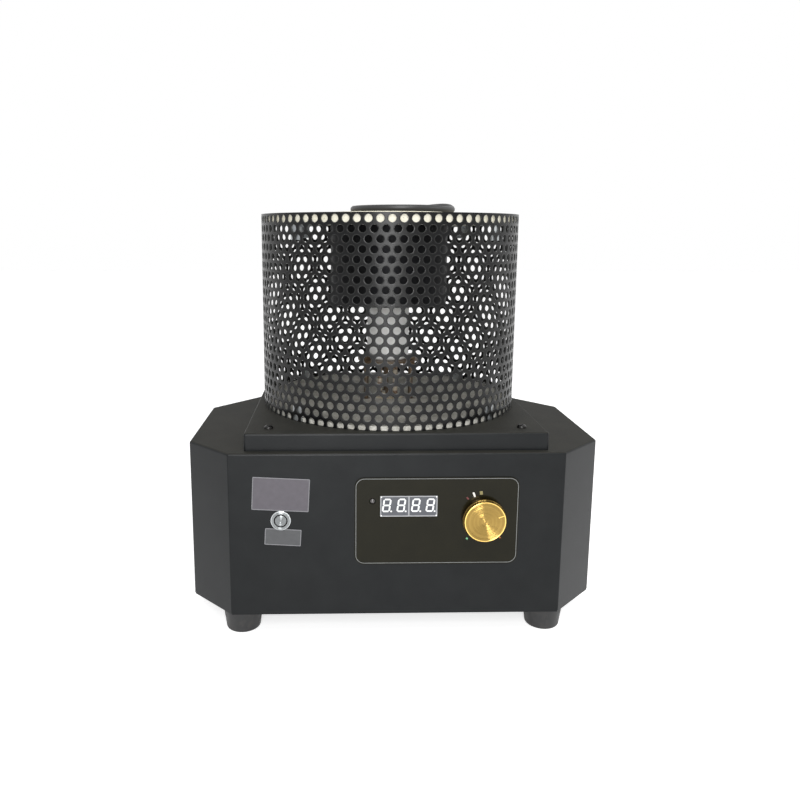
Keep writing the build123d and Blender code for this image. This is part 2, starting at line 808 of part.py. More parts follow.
knob_back = panel_front - knob_air
knob_face = knob_back - knob_height
bore_end = knob_face + knob_face_thickness
recess_floor = knob_back - knob_recess_depth
with BuildPart() as pot_shaft:
    with BuildSketch(Plane.XZ.offset(touch_gap - wafer_front)):
        with Locations((knob_x, knob_z)):
            Circle(shaft_radius)
    extrude(amount=wafer_front - touch_gap - bore_end)

with BuildPart() as pot_nut:
    with BuildSketch(front_face.offset(panel_thickness)):
        with Locations((knob_x, knob_z)):
            RegularPolygon(pot_nut_flats / 2, 6, major_radius=False)
            Circle(bushing_radius, mode=Mode.SUBTRACT)
    extrude(amount=pot_nut_height)

index_middle = knob_face_radius - knob_index_margin - knob_index_length / 2
index_turn = radians(knob_index_angle)
with BuildPart() as knob:
    with BuildSketch(Plane.XY.offset(knob_z)):
        with BuildLine():
            Polyline(
                (knob_x, knob_face + knob_dish),
                (knob_x, bore_end),
                (knob_x + shaft_radius, bore_end),
                (knob_x + shaft_radius, recess_floor),
                (knob_x + knob_recess_radius, recess_floor),
                (knob_x + knob_recess_radius, knob_back),
                (knob_x + knob_radius - knob_edge, knob_back),
                (knob_x + knob_radius, knob_back - knob_edge),
                (knob_x + knob_radius, knob_back - knob_skirt),
                (knob_x + knob_face_radius, knob_face),
                (knob_x + knob_face_radius - knob_land, knob_face),
                close=True,
            )
        make_face()
    revolve(axis=knob_axis)
    # index mark near the rim
    index_place = (knob_x + index_middle * cos(index_turn), knob_z + index_middle * sin(index_turn))
    with BuildSketch(Plane.XZ.offset(-knob_face)):
        with Locations(Location(index_place, knob_index_angle)):
            Rectangle(knob_index_length, knob_index_width)
    extrude(amount=-knob_index_depth, mode=Mode.SUBTRACT)
    # grub screw's hole, from below
    with BuildSketch(Plane.XY.offset(knob_z)):
        with Locations((knob_x, (bore_end + recess_floor) / 2)):
            Circle(grub_radius + hole_gap)
    extrude(amount=-(knob_radius + touch_gap), mode=Mode.SUBTRACT)

with BuildPart() as knob_grub_screw:
    with BuildSketch(Plane.XY.offset(knob_z - shaft_radius)):
        with Locations((knob_x, (bore_end + recess_floor) / 2)):
            Circle(grub_radius)
    extrude(amount=-grub_length)

# ------------------------------------------------------------------ push button
flange_face = body_front - button_flange_height
cap_face = flange_face + button_cap_drop
cap_back = cap_face + button_cap_thickness
guide_floor = flange_face + button_guide_depth
barrel_end = body_front + button_barrel_length
button_axis = Axis((button_x, 0, button_z), (0, 1, 0))

rim_front = body_front - button_rim_height
shoulder_rise = rim_front - flange_face
guide_radius = button_cap_radius + running_gap
with BuildPart() as button_bezel:
    with BuildSketch(Plane.XY.offset(button_z)):
        with BuildLine():
            Polyline(
                (button_x + button_flange_radius, rim_front),
                (button_x + button_flange_radius, body_front),
                (button_x + button_barrel_radius, body_front),
                (button_x + button_barrel_radius, barrel_end),
                (button_x + button_stem_radius + running_gap, barrel_end),
                (button_x + button_stem_radius + running_gap, guide_floor),
                (button_x + guide_radius, guide_floor),
                (button_x + guide_radius, flange_face + button_mouth_edge),
                (button_x + guide_radius + button_mouth_edge, flange_face),
                (button_x + button_flange_radius - button_shoulder, flange_face),
            )
            ThreePointArc(
                (button_x + button_flange_radius - button_shoulder, flange_face),
                (
                    button_x + button_flange_radius - button_shoulder * (1 - sin(radians(45))),
                    flange_face + shoulder_rise * (1 - cos(radians(45))),
                ),
                (button_x + button_flange_radius, rim_front),
            )
        make_face()
    revolve(axis=button_axis)

with BuildPart() as button_cap:
    with BuildSketch(Plane.XY.offset(button_z)):
        with BuildLine():
            Polyline(
                (button_x, cap_face),
                (button_x + button_cap_radius - button_cap_edge, cap_face),
                (button_x + button_cap_radius, cap_face + button_cap_edge),
                (button_x + button_cap_radius, cap_back),
                (button_x + button_stem_radius, cap_back),
                (button_x + button_stem_radius, barrel_end + button_travel),
                (button_x, barrel_end + button_travel),
                close=True,
            )
        make_face()
    revolve(axis=button_axis)

with BuildPart() as button_nut:
    with BuildSketch(front_face.offset(-sheet)):
        with Locations((button_x, button_z)):
            RegularPolygon(button_nut_flats / 2, 6, major_radius=False)
            Circle(button_barrel_radius, mode=Mode.SUBTRACT)
    extrude(amount=-button_nut_height)

with BuildPart() as button_contacts:
    with BuildSketch(front_face.offset(-button_barrel_length)):
        with Locations((button_x, button_z)):
            Circle(button_barrel_radius - contact_step)
    extrude(amount=-contact_depth)
    with BuildSketch(front_face.offset(-button_barrel_length)):
        with Locations((button_x, button_z)):
            Circle(button_stem_radius + touch_gap)
    extrude(amount=-contact_pocket_depth, mode=Mode.SUBTRACT)
    # tabs at the back
    with BuildSketch(front_face.offset(-button_barrel_length - contact_depth)):
        with Locations((button_x, button_z)):
            with GridLocations(contact_tab_pitch, 0, 2, 1):
                Rectangle(contact_tab_width, contact_tab_height)
    extrude(amount=-contact_tab_reach)

spring_height = guide_floor - cap_back - 2 * spring_wire
with BuildPart() as button_spring:
    with BuildLine() as spring_path:
        Helix(
            pitch=spring_height / spring_turns,
            height=spring_height,
            radius=spring_radius,
            center=(button_x, cap_back + spring_wire, button_z),
            direction=(0, 1, 0),
        )
    with BuildSketch(Plane(origin=spring_path.line @ 0, z_dir=spring_path.line % 0)):
        RegularPolygon(spring_wire, 4)
    sweep(is_frenet=True)

# ------------------------------------------------------------------ boards and parts inside the housing


def board_corners(centre, width, length):
    """Places of a board's four spacers, near its corners."""
    return [
        (centre[0] + side_x * (width / 2 - board_edge), centre[1] + side_y * (length / 2 - board_edge))
        for side_x in (-1, 1)
        for side_y in (-1, 1)
    ]


def on_board(centre, place):
    """Where something soldered on a board lies, from the board's centre."""
    return (centre[0] + place[0], centre[1] + place[1])


control_centre = (panel_centre_x - control_board_left, panel_centre_height + control_board_rise)
control_plane = Plane(origin=(0, control_board_front, 0), x_dir=(1, 0, 0), z_dir=(0, -1, 0))
with BuildPart() as control_board:
    with BuildSketch(control_plane):
        with Locations(control_centre):
            Rectangle(control_board_width, control_board_height)
    extrude(amount=-board_thickness)
    # processor, plug header and electrolytic capacitor on the back
    with BuildSketch(control_plane.offset(-board_thickness)):
        with Locations(on_board(control_centre, chip_place)):
            Rectangle(*chip_size)
        with Locations(on_board(control_centre, header_place)):
            Rectangle(*header_size)
    extrude(amount=-chip_thickness)
    with BuildSketch(control_plane.offset(-board_thickness)):
        with Locations(on_board(control_centre, board_capacitor_place)):
            Circle(board_capacitor_radius)
    extrude(amount=-board_capacitor_height)

with BuildPart() as board_spacers:
    with BuildSketch(front_face.offset(-sheet)):
        with Locations(*board_corners(control_centre, control_board_width, control_board_height)):
            RegularPolygon(spacer_radius, 6)
    extrude(amount=-(control_board_front - inner_front))

power_board_level = shell_bottom + power_board_lift
power_board_top = power_board_level + board_thickness
power_centre = (power_board_side + power_board_width / 2 - half_width, 0)
with BuildPart() as power_board:
    with BuildSketch(Plane.XY.offset(power_board_level)):
        with Locations(power_centre):
            Rectangle(power_board_width, power_board_length)
    extrude(amount=board_thickness)
    # relay, capacitors and connector soldered on top
    with BuildSketch(Plane.XY.offset(power_board_top)):
        with Locations(on_board(power_centre, relay_place)):
            Rectangle(*relay_size)
    extrude(amount=relay_height)
    with BuildSketch(Plane.XY.offset(power_board_top)):
        with Locations(*[on_board(power_centre, place) for place in capacitor_places]):
            Circle(capacitor_radius)
    extrude(amount=capacitor_height)
    with BuildSketch(Plane.XY.offset(power_board_top)):
        with Locations(on_board(power_centre, connector_place)):
            Rectangle(*connector_size)
    extrude(amount=connector_height)

with BuildPart() as power_board_spacers:
    with BuildSketch(Plane.XY.offset(shell_bottom)):
        with Locations(*board_corners(power_centre, power_board_width, power_board_length)):
            RegularPolygon(spacer_radius, 6)
    extrude(amount=power_board_lift)

# the transformer stands in the power board's left rear corner
transformer_x = power_centre[0] - power_board_width / 2 + transformer_width / 2 + 2 * board_edge
transformer_y = power_centre[1] + power_board_length / 2 - transformer_length / 2 - 2 * board_edge
with BuildPart() as transformer:
    with BuildSketch(Plane.XY.offset(power_board_top)):
        with Locations((transformer_x, transformer_y)):
            Rectangle(transformer_width, core_thickness)
    extrude(amount=transformer_height)
    # the bobbin's winding stands out on both sides of the laminated core
    with BuildSketch(Plane.XY.offset(power_board_top + (transformer_height - bobbin_height) / 2)):
        with Locations((transformer_x, transformer_y)):
            RectangleRounded(bobbin_width, transformer_length, bobbin_corner)
    extrude(amount=bobbin_height)

fuse_x, fuse_y = on_board(power_centre, fuse_place)
with BuildPart() as fuse_holder:
    with BuildSketch(Plane.XY.offset(power_board_top)):
        with Locations((fuse_x, fuse_y)):
            Rectangle(fuse_length, fuse_clip_width)
    extrude(amount=fuse_base_height)
    # a clip at each end of the fuse
    with BuildSketch(Plane.XY.offset(power_board_top)):
        with Locations((fuse_x, fuse_y)):
            with GridLocations(fuse_length - fuse_clip_thickness, 0, 2, 1):
                Rectangle(fuse_clip_thickness, fuse_clip_width)
    extrude(amount=fuse_lift + fuse_radius / 2)
    with BuildSketch(Plane.YZ.offset(fuse_x)):
        with Locations((fuse_y, power_board_top + fuse_lift)):
            Circle(fuse_radius)
    extrude(amount=fuse_length / 2, both=True)

heatsink_x = half_width - heatsink_side
heatsink_y = body_rear - heatsink_rear
fin_pitch = (heatsink_length - fin_thickness) / (fin_count - 1)
with BuildPart() as heatsink:
    with BuildSketch(Plane.XY.offset(shell_bottom)):
        with Locations((heatsink_x, heatsink_y)):
            Rectangle(heatsink_base, heatsink_length)
        with Locations((heatsink_x + heatsink_base / 2 + fin_height / 2, heatsink_y)):
            with GridLocations(0, fin_pitch, 1, fin_count):
                Rectangle(fin_height, fin_thickness)
    extrude(amount=heatsink_height)

triac_back = heatsink_x - heatsink_base / 2
triac_z = shell_bottom + triac_level
with BuildPart() as triac:
    with BuildSketch(Plane.YZ.offset(triac_back)):
        with Locations((heatsink_y, triac_z)):
            RectangleRounded(triac_width, triac_height, triac_corner)
            Circle(triac_hole_radius, mode=Mode.SUBTRACT)
    extrude(amount=-triac_thickness)
    # leads, downwards
    with BuildSketch(Plane.YZ.offset(triac_back - triac_thickness / 2)):
        with Locations((heatsink_y, triac_z - (triac_height + triac_lead_length) / 2)):
            with GridLocations(triac_lead_pitch, 0, triac_lead_count, 1):
                Rectangle(triac_lead_width, triac_lead_length)
    extrude(amount=triac_lead_thickness / 2, both=True)

pole_pitch = terminal_width / terminal_poles
with BuildPart() as terminal_block:
    with BuildSketch(Plane.XY.offset(shell_bottom)):
        Rectangle(terminal_width, terminal_depth)
    extrude(amount=terminal_height)
    # a well between barriers for each pole, in front of and behind the leads
    with BuildSketch(Plane.XY.offset(terminal_top)):
        with GridLocations(pole_pitch, 2 * terminal_well_offset, terminal_poles, 2):
            Rectangle(pole_pitch - terminal_barrier, terminal_well_width)
    extrude(amount=-terminal_well_depth, mode=Mode.SUBTRACT)

# ------------------------------------------------------------------ cord, gland and plug
rear_plane = Plane(origin=(0, body_rear, 0), x_dir=(-1, 0, 0), z_dir=(0, 1, 0))
gland_tip = body_rear + gland_body + gland_tail
with BuildPart() as cord_gland:
    with BuildSketch(Plane.XY.offset(gland_z)):
        with BuildLine():
            Polyline(
                (gland_x, body_rear - gland_thread_length),
                (gland_x + gland_thread_radius, body_rear - gland_thread_length),
                (gland_x + gland_thread_radius, body_rear),
                (gland_x + gland_radius, body_rear),
                (gland_x + gland_radius, body_rear + gland_body - gland_edge),
                (gland_x + gland_radius - gland_edge, body_rear + gland_body),
                (gland_x + gland_root_radius, body_rear + gland_body),
                (gland_x + gland_tip_radius, gland_tip),
                (gland_x, gland_tip),
                close=True,
            )
        make_face()
    revolve(axis=Axis((gland_x, 0, gland_z), (0, 1, 0)))

with BuildPart() as gland_nut:
    with BuildSketch(rear_plane.offset(-sheet)):
        with Locations((-gland_x, gland_z)):
            RegularPolygon(gland_nut_flats / 2, 6, major_radius=False)
            Circle(gland_thread_radius, mode=Mode.SUBTRACT)
    extrude(amount=-gland_nut_height)

coil_level = board_top + mouth_ring_height + coil_section_height / 2
with BuildPart() as cord_coil:
    with BuildSketch(Plane((coil_centre_x, coil_centre_y, coil_level), x_dir=(1, 0, 0), z_dir=(0, -1, 0))):
        with Locations((coil_mean_radius, 0)):
            Rectangle(coil_section_width, coil_section_height)
            chamfer(vertices(), coil_section_corner)
    revolve(axis=Axis((coil_centre_x, coil_centre_y, 0), (0, 0, 1)))

# the lead rises behind the guard, crosses its rim and joins the coil round the mouth
rising_route = [
    (gland_x, gland_tip, gland_z),
    (gland_x, gland_tip + first_run_length, gland_z),
    (33.0, 234.0, 86.0),
    (31.0, 238.0, 130.0),
    (29.0, 232.0, 186.0),
    (32.0, 219.0, 242.0),
    (44.0, 206.0, 296.0),
    (62.0, 186.0, 344.0),
    (74.0, 160.0, 376.0),
    (79.0, 122.0, 391.0),
    (76.0, 82.0, 391.0),
    (67.0, 48.0, 385.0),
    (60.0, 20.0, 382.2),
]
# its other end leaves the coil, drops behind the guard and runs along the back to the plug
falling_route = [
    (-37.0, 21.0, 384.8),
    (-40.0, 48.0, 386.5),
    (-41.0, 76.0, 389.5),
    (-40.5, 106.0, 391.5),
    (-38.0, 142.0, 391.0),
    (-33.0, 170.0, 374.0),
    (-26.0, 192.0, 340.0),
    (-14.0, 206.0, 292.0),
    (-3.0, 213.0, 240.0),
    (2.0, 213.0, 186.0),
    (0.0, 209.0, 132.0),
    (-5.0, 205.0, 84.0),
    (-14.0, 200.0, 46.0),
    (-38.0, 193.0, 17.0),
    (-76.0, 186.0, plug_thickness / 2),
    (-114.0, 180.0, plug_thickness / 2),
]


def corner_radii(route):
    """The largest arc that each corner's two runs leave room for."""
    radii = []
    for before, corner, after in zip(route, route[1:], route[2:]):
        run_in = Vector(*corner) - Vector(*before)
        run_out = Vector(*after) - Vector(*corner)
        turn = radians(run_in.get_angle(run_out))
        radii.append(0.45 * min(run_in.length, run_out.length) / tan(turn / 2))
    return radii


def cord_along(route):
    """The lead's round section, carried along a route of straight runs and tangent arcs."""
    radii = corner_radii(route)
    with BuildPart() as cord:
        with BuildLine():
            path = FilletPolyline(*route, radius=radii)
        with BuildSketch(Plane(origin=path @ 0, z_dir=path % 0)):
            Circle(cord_radius)
        sweep(path=path)
    section = pi * cord_radius**2
    print(f"cord: length {path.length:.0f}, smallest radius {min(radii):.1f},",
          f"volume over section times length {cord.part.volume / section / path.length:.4f}")
    print("radii:", [round(radius, 1) for radius in radii])
    return cord.part


with BuildPart() as mains_cord:
    add(cord_along(rising_route))
    add(cord_coil.part, mode=Mode.SUBTRACT)

with BuildPart() as cord_tail:
    add(cord_along(falling_route))
    add(cord_coil.part, mode=Mode.SUBTRACT)

# the plug lies along the last run of the cord
plug_start = Vector(*falling_route[-1])
plug_turn = degrees(atan2(falling_route[-1][1] - falling_route[-2][1], falling_route[-1][0] - falling_route[-2][0]))
plug_plane = Plane(
    origin=plug_start,
    x_dir=(-sin(radians(plug_turn)), cos(radians(plug_turn)), 0),
    z_dir=(cos(radians(plug_turn)), sin(radians(plug_turn)), 0),
)
with BuildPart() as plug:
    with BuildSketch(plug_plane):
        Circle(plug_neck_radius)
    with BuildSketch(plug_plane.offset(plug_neck_length)):
        RectangleRounded(plug_shoulder_width, plug_shoulder_thickness, plug_corner)
    loft()
    with BuildSketch(plug_plane.offset(plug_neck_length)):
        RectangleRounded(plug_shoulder_width, plug_shoulder_thickness, plug_corner)
    with BuildSketch(plug_plane.offset(plug_length)):
        RectangleRounded(plug_width, plug_thickness, plug_corner)
    loft()
    with BuildSketch(plug_plane.offset(plug_length)):
        with GridLocations(plug_pin_spacing, 0, 2, 1):
            Rectangle(plug_pin_thickness, plug_pin_width)
    extrude(amount=plug_pin_length)

# ------------------------------------------------------------------ the pieces, by name
pieces = {
    "base_shell": base_shell,
    "base_plate": base_plate,
    "base_plate_screws": base_plate_screws,
    **feet,
    "foot_screws": foot_screws,
    "foot_washers": foot_washers,
    "top_tray": top_tray,
    "tray_screws": tray_screws,
    "guard": guard,
    "guard_brackets": guard_brackets,
    "guard_bracket_screws": guard_bracket_screws,
    "floor_board": floor_board,
    "top_board": top_board,
    "mouth_ring": mouth_ring,
    "board_brackets": board_brackets,
    "chamber_can": chamber_can,
    "insulation_base": insulation_base,
    "insulation_sleeve": insulation_sleeve,
    "muffle": muffle,
    "muffle_floor": muffle_floor,
    "heating_coil": heating_coil,
    "crucible": crucible,
    "pedestal_tube": pedestal_tube,
    "pedestal_ring": pedestal_ring,
    "pedestal_studs": pedestal_studs,
    "pedestal_nuts": pedestal_nuts,
    "heater_leads": heater_leads,
    "thermocouple": thermocouple,
    "lead_grommet": lead_grommet,
    "panel_overlay": panel_overlay,
    "display_module": display_module,
    "indicator_lamp": indicator_lamp,
    "pot_body": pot_body,
    "pot_shaft": pot_shaft,
    "pot_nut": pot_nut,
    "knob": knob,
    "knob_grub_screw": knob_grub_screw,
    "button_bezel": button_bezel,
    "button_cap": button_cap,
    "button_nut": button_nut,
    "button_contacts": button_contacts,
    "button_spring": button_spring,
    "control_board": control_board,
    "board_spacers": board_spacers,
    "power_board": power_board,
    "power_board_spacers": power_board_spacers,
    "transformer": transformer,
    "fuse_holder": fuse_holder,
    "heatsink": heatsink,
    "triac": triac,
    "terminal_block": terminal_block,
    "cord_gland": cord_gland,
    "gland_nut": gland_nut,
    "mains_cord": mains_cord,
    "cord_coil": cord_coil,
    "cord_tail": cord_tail,
    "plug": plug,
}
for name, piece in pieces.items():
    piece.part.label = name
    export_step(piece.part, f"parts/{name}.step")
print(len(pieces), "pieces written")
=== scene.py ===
# %% [markdown]
# # A small electric melting furnace
#
# This notebook dresses the furnace's solid model for a studio picture. The solid model already has every
# rigid piece at its real size. What is added here is what a solid modeller does badly: hundreds of punched
# holes, a lead that bends like rubber, thin printed marks, and the finish of every surface.
# Every length is in metres, +Z is up, and the front of the furnace looks towards -Y.

# %% Load the solid model
from math import cos, pi, radians, sin, tan

import bmesh
import bpy
import numpy as np
from mathutils import Matrix, Vector


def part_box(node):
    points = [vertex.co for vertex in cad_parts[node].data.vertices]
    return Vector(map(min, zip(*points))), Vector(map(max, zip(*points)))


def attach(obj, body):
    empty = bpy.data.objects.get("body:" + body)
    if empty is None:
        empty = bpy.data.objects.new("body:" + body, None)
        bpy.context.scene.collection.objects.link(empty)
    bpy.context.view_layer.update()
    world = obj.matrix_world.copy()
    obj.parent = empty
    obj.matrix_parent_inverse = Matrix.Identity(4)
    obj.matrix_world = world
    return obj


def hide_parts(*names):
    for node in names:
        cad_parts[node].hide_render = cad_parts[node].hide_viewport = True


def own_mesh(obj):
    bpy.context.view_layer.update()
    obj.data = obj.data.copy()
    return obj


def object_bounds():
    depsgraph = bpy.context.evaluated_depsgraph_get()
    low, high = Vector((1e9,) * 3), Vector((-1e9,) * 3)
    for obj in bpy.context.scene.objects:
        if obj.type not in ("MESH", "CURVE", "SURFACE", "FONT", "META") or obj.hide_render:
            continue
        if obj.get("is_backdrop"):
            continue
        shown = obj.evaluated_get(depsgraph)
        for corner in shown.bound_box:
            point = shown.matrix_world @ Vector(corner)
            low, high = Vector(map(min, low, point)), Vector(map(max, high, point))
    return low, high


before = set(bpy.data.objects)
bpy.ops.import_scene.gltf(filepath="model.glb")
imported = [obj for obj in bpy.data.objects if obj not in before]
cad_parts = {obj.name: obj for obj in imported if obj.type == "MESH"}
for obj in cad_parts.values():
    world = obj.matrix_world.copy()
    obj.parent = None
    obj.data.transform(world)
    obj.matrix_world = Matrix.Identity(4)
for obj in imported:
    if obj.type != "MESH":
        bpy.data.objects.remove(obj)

solid_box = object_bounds()
box_corners = [round(value, 4) for point in solid_box for value in point]
print("solid model:", len(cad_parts), "nodes, box", box_corners)

# %% [markdown]
# ## Sizes
#
# A drawing of such a furnace is in millimetres, so one name, `mm`, turns a drawing's number into metres.
# Whatever can be read from the solid model is read from it, so that the two can't drift apart.
# The heights below are those of the tray's top, of the guard's rim and of the board in it.

# %% Sizes read from the solid model
mm = 0.001
shell_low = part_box("base_shell")[0]
tray_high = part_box("top_tray")[1]
guard_low, guard_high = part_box("guard")
panel_low, panel_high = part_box("panel_overlay")
knob_low, knob_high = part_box("knob")
button_low, button_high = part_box("button_cap")
display_low, display_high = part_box("display_module")
shell_front = shell_low.y
panel_front = panel_low.y
guard_radius = guard_high.x
print(f"guard: radius {guard_radius / mm:.0f} mm, from {guard_low.z / mm:.0f} to {guard_high.z / mm:.0f} mm")

# %% [markdown]
# ## The camera
#
# A product picture of a thing this size is taken from well under a metre away, with the camera a little
# above the middle and tipped down by about ten degrees. The camera stands slightly left of the centre.
# Tipping a camera down and then shifting its lens keeps the furnace in the middle of the frame. The
# rotation is written as three turns: a small turn to the side, the tip, and a hair of roll.

# %% Place the camera
camera_place = Vector((-50.4, -745.9, 362.9)) * mm
camera_side_turn = -0.025
camera_tip = 0.173
camera_roll = 0.003

camera_data = bpy.data.cameras.new("camera")
camera_data.sensor_width = 36.0
camera_data.lens = 32.68
camera_data.shift_x = 0.0534
camera_data.shift_y = -0.0525
camera_data.clip_start = 0.05
camera = bpy.data.objects.new("camera", camera_data)
camera.matrix_world = (
    Matrix.Translation(camera_place)
    @ Matrix.Rotation(camera_side_turn, 4, "Z")
    @ Matrix.Rotation(pi / 2 - camera_tip, 4, "X")
    @ Matrix.Rotation(camera_roll, 4, "Z")
)
bpy.context.scene.collection.objects.link(camera)
bpy.context.scene.camera = camera
print(f"camera: {camera_data.lens} mm lens, {camera_place.length:.2f} m from the origin")

# %% [markdown]
# ## Shader maths in Python
#
# A finish is a network of nodes. Wiring it by hand takes a line for each link, which hides the idea.
# `Signal` wraps one output of a node, and Python's own operators then add the Math nodes: with two
# signals `a` and `b`, `1 - a * b` makes two nodes and links them. The reflected forms, such as
# `__rsub__`, are what Python calls when the plain number stands on the left.

# %% A socket that understands arithmetic
class Signal:
    """One output socket. An expression on it adds the Math nodes that work it out."""

    def __init__(self, finish, socket):
        self.finish = finish
        self.socket = socket

    def other(self, name):
        """Another output of the same node."""
        return Signal(self.finish, self.socket.node.outputs[name])

    def maths(self, operation, first, second=0.0):
        return self.finish.node("ShaderNodeMath", {"operation": operation}, {0: first, 1: second})

    def __add__(self, other):
        return self.maths("ADD", self, other)

    def __radd__(self, other):
        return self.maths("ADD", other, self)

    def __sub__(self, other):
        return self.maths("SUBTRACT", self, other)

    def __rsub__(self, other):
        return self.maths("SUBTRACT", other, self)

    def __mul__(self, other):
        return self.maths("MULTIPLY", self, other)

    def __rmul__(self, other):
        return self.maths("MULTIPLY", other, self)

    def __truediv__(self, other):
        return self.maths("DIVIDE", self, other)

    def __rtruediv__(self, other):
        return self.maths("DIVIDE", other, self)

    def __pow__(self, other):
        return self.maths("POWER", self, other)

    def __rpow__(self, other):
        return self.maths("POWER", other, self)

    def __gt__(self, other):
        return self.maths("GREATER_THAN", self, other)

    def __lt__(self, other):
        return self.maths("LESS_THAN", self, other)

    def __abs__(self):
        return self.maths("ABSOLUTE", self)


print("a signal knows", sorted(name for name in vars(Signal) if name.startswith("__"))[:6], "and more")

# %% [markdown]
# ## One finish, one shader
#
# Every finish here is one Principled shader. What is the same all over the surface is set on the shader's
# own sockets when the finish is made. What changes from place to place is worked out from the piece's own
# coordinates and fed to a socket by name. `node` is the one method that adds any node: its settings come
# first, because some of them change which sockets the node has.

# %% A finish and the few nodes it is made from
class Finish:
    """A material with one Principled shader, whose varying values are written as expressions."""

    def __init__(self, name, colour, **even):
        self.material = bpy.data.materials.new(name)
        self.material.use_nodes = True
        self.tree = self.material.node_tree
        self.shader = self.tree.nodes["Principled BSDF"]
        self.shader.inputs["Base Color"].default_value = colour
        self.material.diffuse_color = colour
        for socket, value in even.items():
            self.shader.inputs[socket.replace("_", " ").title().replace("Ior", "IOR")].default_value = value
        self.place = self.node("ShaderNodeTexCoord", output="Object")

    def node(self, kind, settings=None, values=None, output=0):
        """Adds a node of any kind: its settings first, then its sockets' values and links."""
        made = self.tree.nodes.new(kind)
        for setting, value in (settings or {}).items():
            if setting == "stops":
                ramp = made.color_ramp.elements
                ramp[0].position, ramp[0].color = value[0]
                ramp[1].position, ramp[1].color = value[-1]
                for position, colour in value[1:-1]:
                    ramp.new(position).color = colour
            else:
                setattr(made, setting, value)
        for socket, value in (values or {}).items():
            if isinstance(value, Signal):
                self.tree.links.new(value.socket, made.inputs[socket])
            else:
                made.inputs[socket].default_value = value
        return Signal(self, made.outputs[output])

    def feed(self, socket, signal):
        """Links a signal to one of the Principled shader's sockets."""
        self.tree.links.new(signal.socket, self.shader.inputs[socket])

    def shader_signal(self):
        """The Principled shader's own output, to be joined with another shader."""
        return Signal(self, self.shader.outputs[0])

    def shine(self, signal):
        """Sends a shader to the material's output in place of the Principled one."""
        self.tree.links.new(signal.socket, self.tree.nodes["Material Output"].inputs["Surface"])

    def axes(self, vector=None):
        """The three numbers in a vector, by default the place on the piece."""
        x = self.node("ShaderNodeSeparateXYZ", values={0: vector or self.place}, output="X")
        return x, x.other("Y"), x.other("Z")

    def noise(self, size, detail=2.0, place=None, roughness=0.5):
        """Soft random mottling from 0 to 1, whose blotches are about `size` metres across."""
        values = {
            "Vector": place or self.place, "Scale": 1.0 / size, "Detail": detail, "Roughness": roughness}
        return self.node("ShaderNodeTexNoise", values=values, output=0)

    def steps(self, signal, low, high):
        """0 below `low`, 1 above `high`, and a smooth slope between the two."""
        values = {"Value": signal, "From Min": low, "From Max": high}
        return self.node("ShaderNodeMapRange", {"interpolation_type": "SMOOTHSTEP"}, values)

    def blend(self, share, first, second):
        """The first colour where `share` is 0, the second where it is 1."""
        return self.node("ShaderNodeMix", {"data_type": "RGBA"}, {0: share, 6: first, 7: second}, output=2)

    def stretch(self, x, y, z):
        """The place on the piece, stretched along the axes, for grain that runs one way."""
        return self.node("ShaderNodeMapping", values={"Vector": self.place, "Scale": (x, y, z)})

    def bumps(self, height, depth, strength=1.0):
        """Lets a height from 0 to 1 catch the light as relief `depth` metres deep."""
        values = {"Height": height, "Distance": depth, "Strength": strength}
        self.feed("Normal", self.node("ShaderNodeBump", values=values))


def tone(red, green, blue):
    """A colour named by its 0 to 255 values on a screen, as the linear light that a shader works in."""
    share = np.array([red, green, blue]) / 255.0
    linear = np.where(share <= 0.04045, share / 12.92, ((share + 0.055) / 1.055) ** 2.4)
    return (*linear.tolist(), 1.0)


print("a mid grey of 128 is", round(tone(128, 128, 128)[0], 3), "in linear light")

# %% [markdown]
# ## The studio: a white sweep and soft light
#
# The furnace stands on a pale floor in front of white. The floor is a plain grid, large enough to fill
# every view. Its shader is split by the Light Path node: what the camera, a mirror or a glass surface
# sees of the surroundings is white, while the light that reaches the furnace stays at a plain level.

# %% The room's light
bpy.context.scene.view_settings.view_transform = "Standard"
world = bpy.data.worlds.new("studio")
bpy.context.scene.world = world
world.use_nodes = True
world_nodes, world_links = world.node_tree.nodes, world.node_tree.links
seen_white = 1.0
room_grey = 0.28

path = world_nodes.new("ShaderNodeLightPath")
seen = None
for ray in ("Is Camera Ray", "Is Glossy Ray", "Is Transmission Ray"):
    if seen is None:
        seen = path.outputs[ray]
    else:
        either = world_nodes.new("ShaderNodeMath")
        either.operation = "MAXIMUM"
        world_links.new(seen, either.inputs[0])
        world_links.new(path.outputs[ray], either.inputs[1])
        seen = either.outputs[0]
level = world_nodes.new("ShaderNodeMapRange")
level.inputs["To Min"].default_value = room_grey
level.inputs["To Max"].default_value = seen_white
world_links.new(seen, level.inputs["Value"])
world_links.new(level.outputs[0], world_nodes["Background"].inputs["Strength"])
world_nodes["Background"].inputs["Color"].default_value = (1.0, 1.0, 1.0, 1.0)
print("room:", seen_white, "where it is seen,", room_grey, "where it lights")

# %% [markdown]
# ### Softboxes
#
# A dark glossy thing is lit by what it mirrors. A large softbox above and in front gives the tray and the
# housing their grey sheen, and a narrow one beside the camera draws the bright line down the round guard.
# Each is an area light, aimed with a quaternion that turns its -Z axis towards a point.

# %% Area lights
def softbox(name, place, target, width, height, power):
    """A soft rectangular light at `place`, turned to face `target`."""
    light = bpy.data.lights.new(name, "AREA")
    light.shape = "RECTANGLE"
    light.size, light.size_y = width, height
    light.energy = power
    lamp = bpy.data.objects.new(name, light)
    lamp.location = place
    lamp.rotation_mode = "QUATERNION"
    lamp.rotation_quaternion = (Vector(target) - Vector(place)).to_track_quat("-Z", "Y")
    bpy.context.scene.collection.objects.link(lamp)
    return lamp


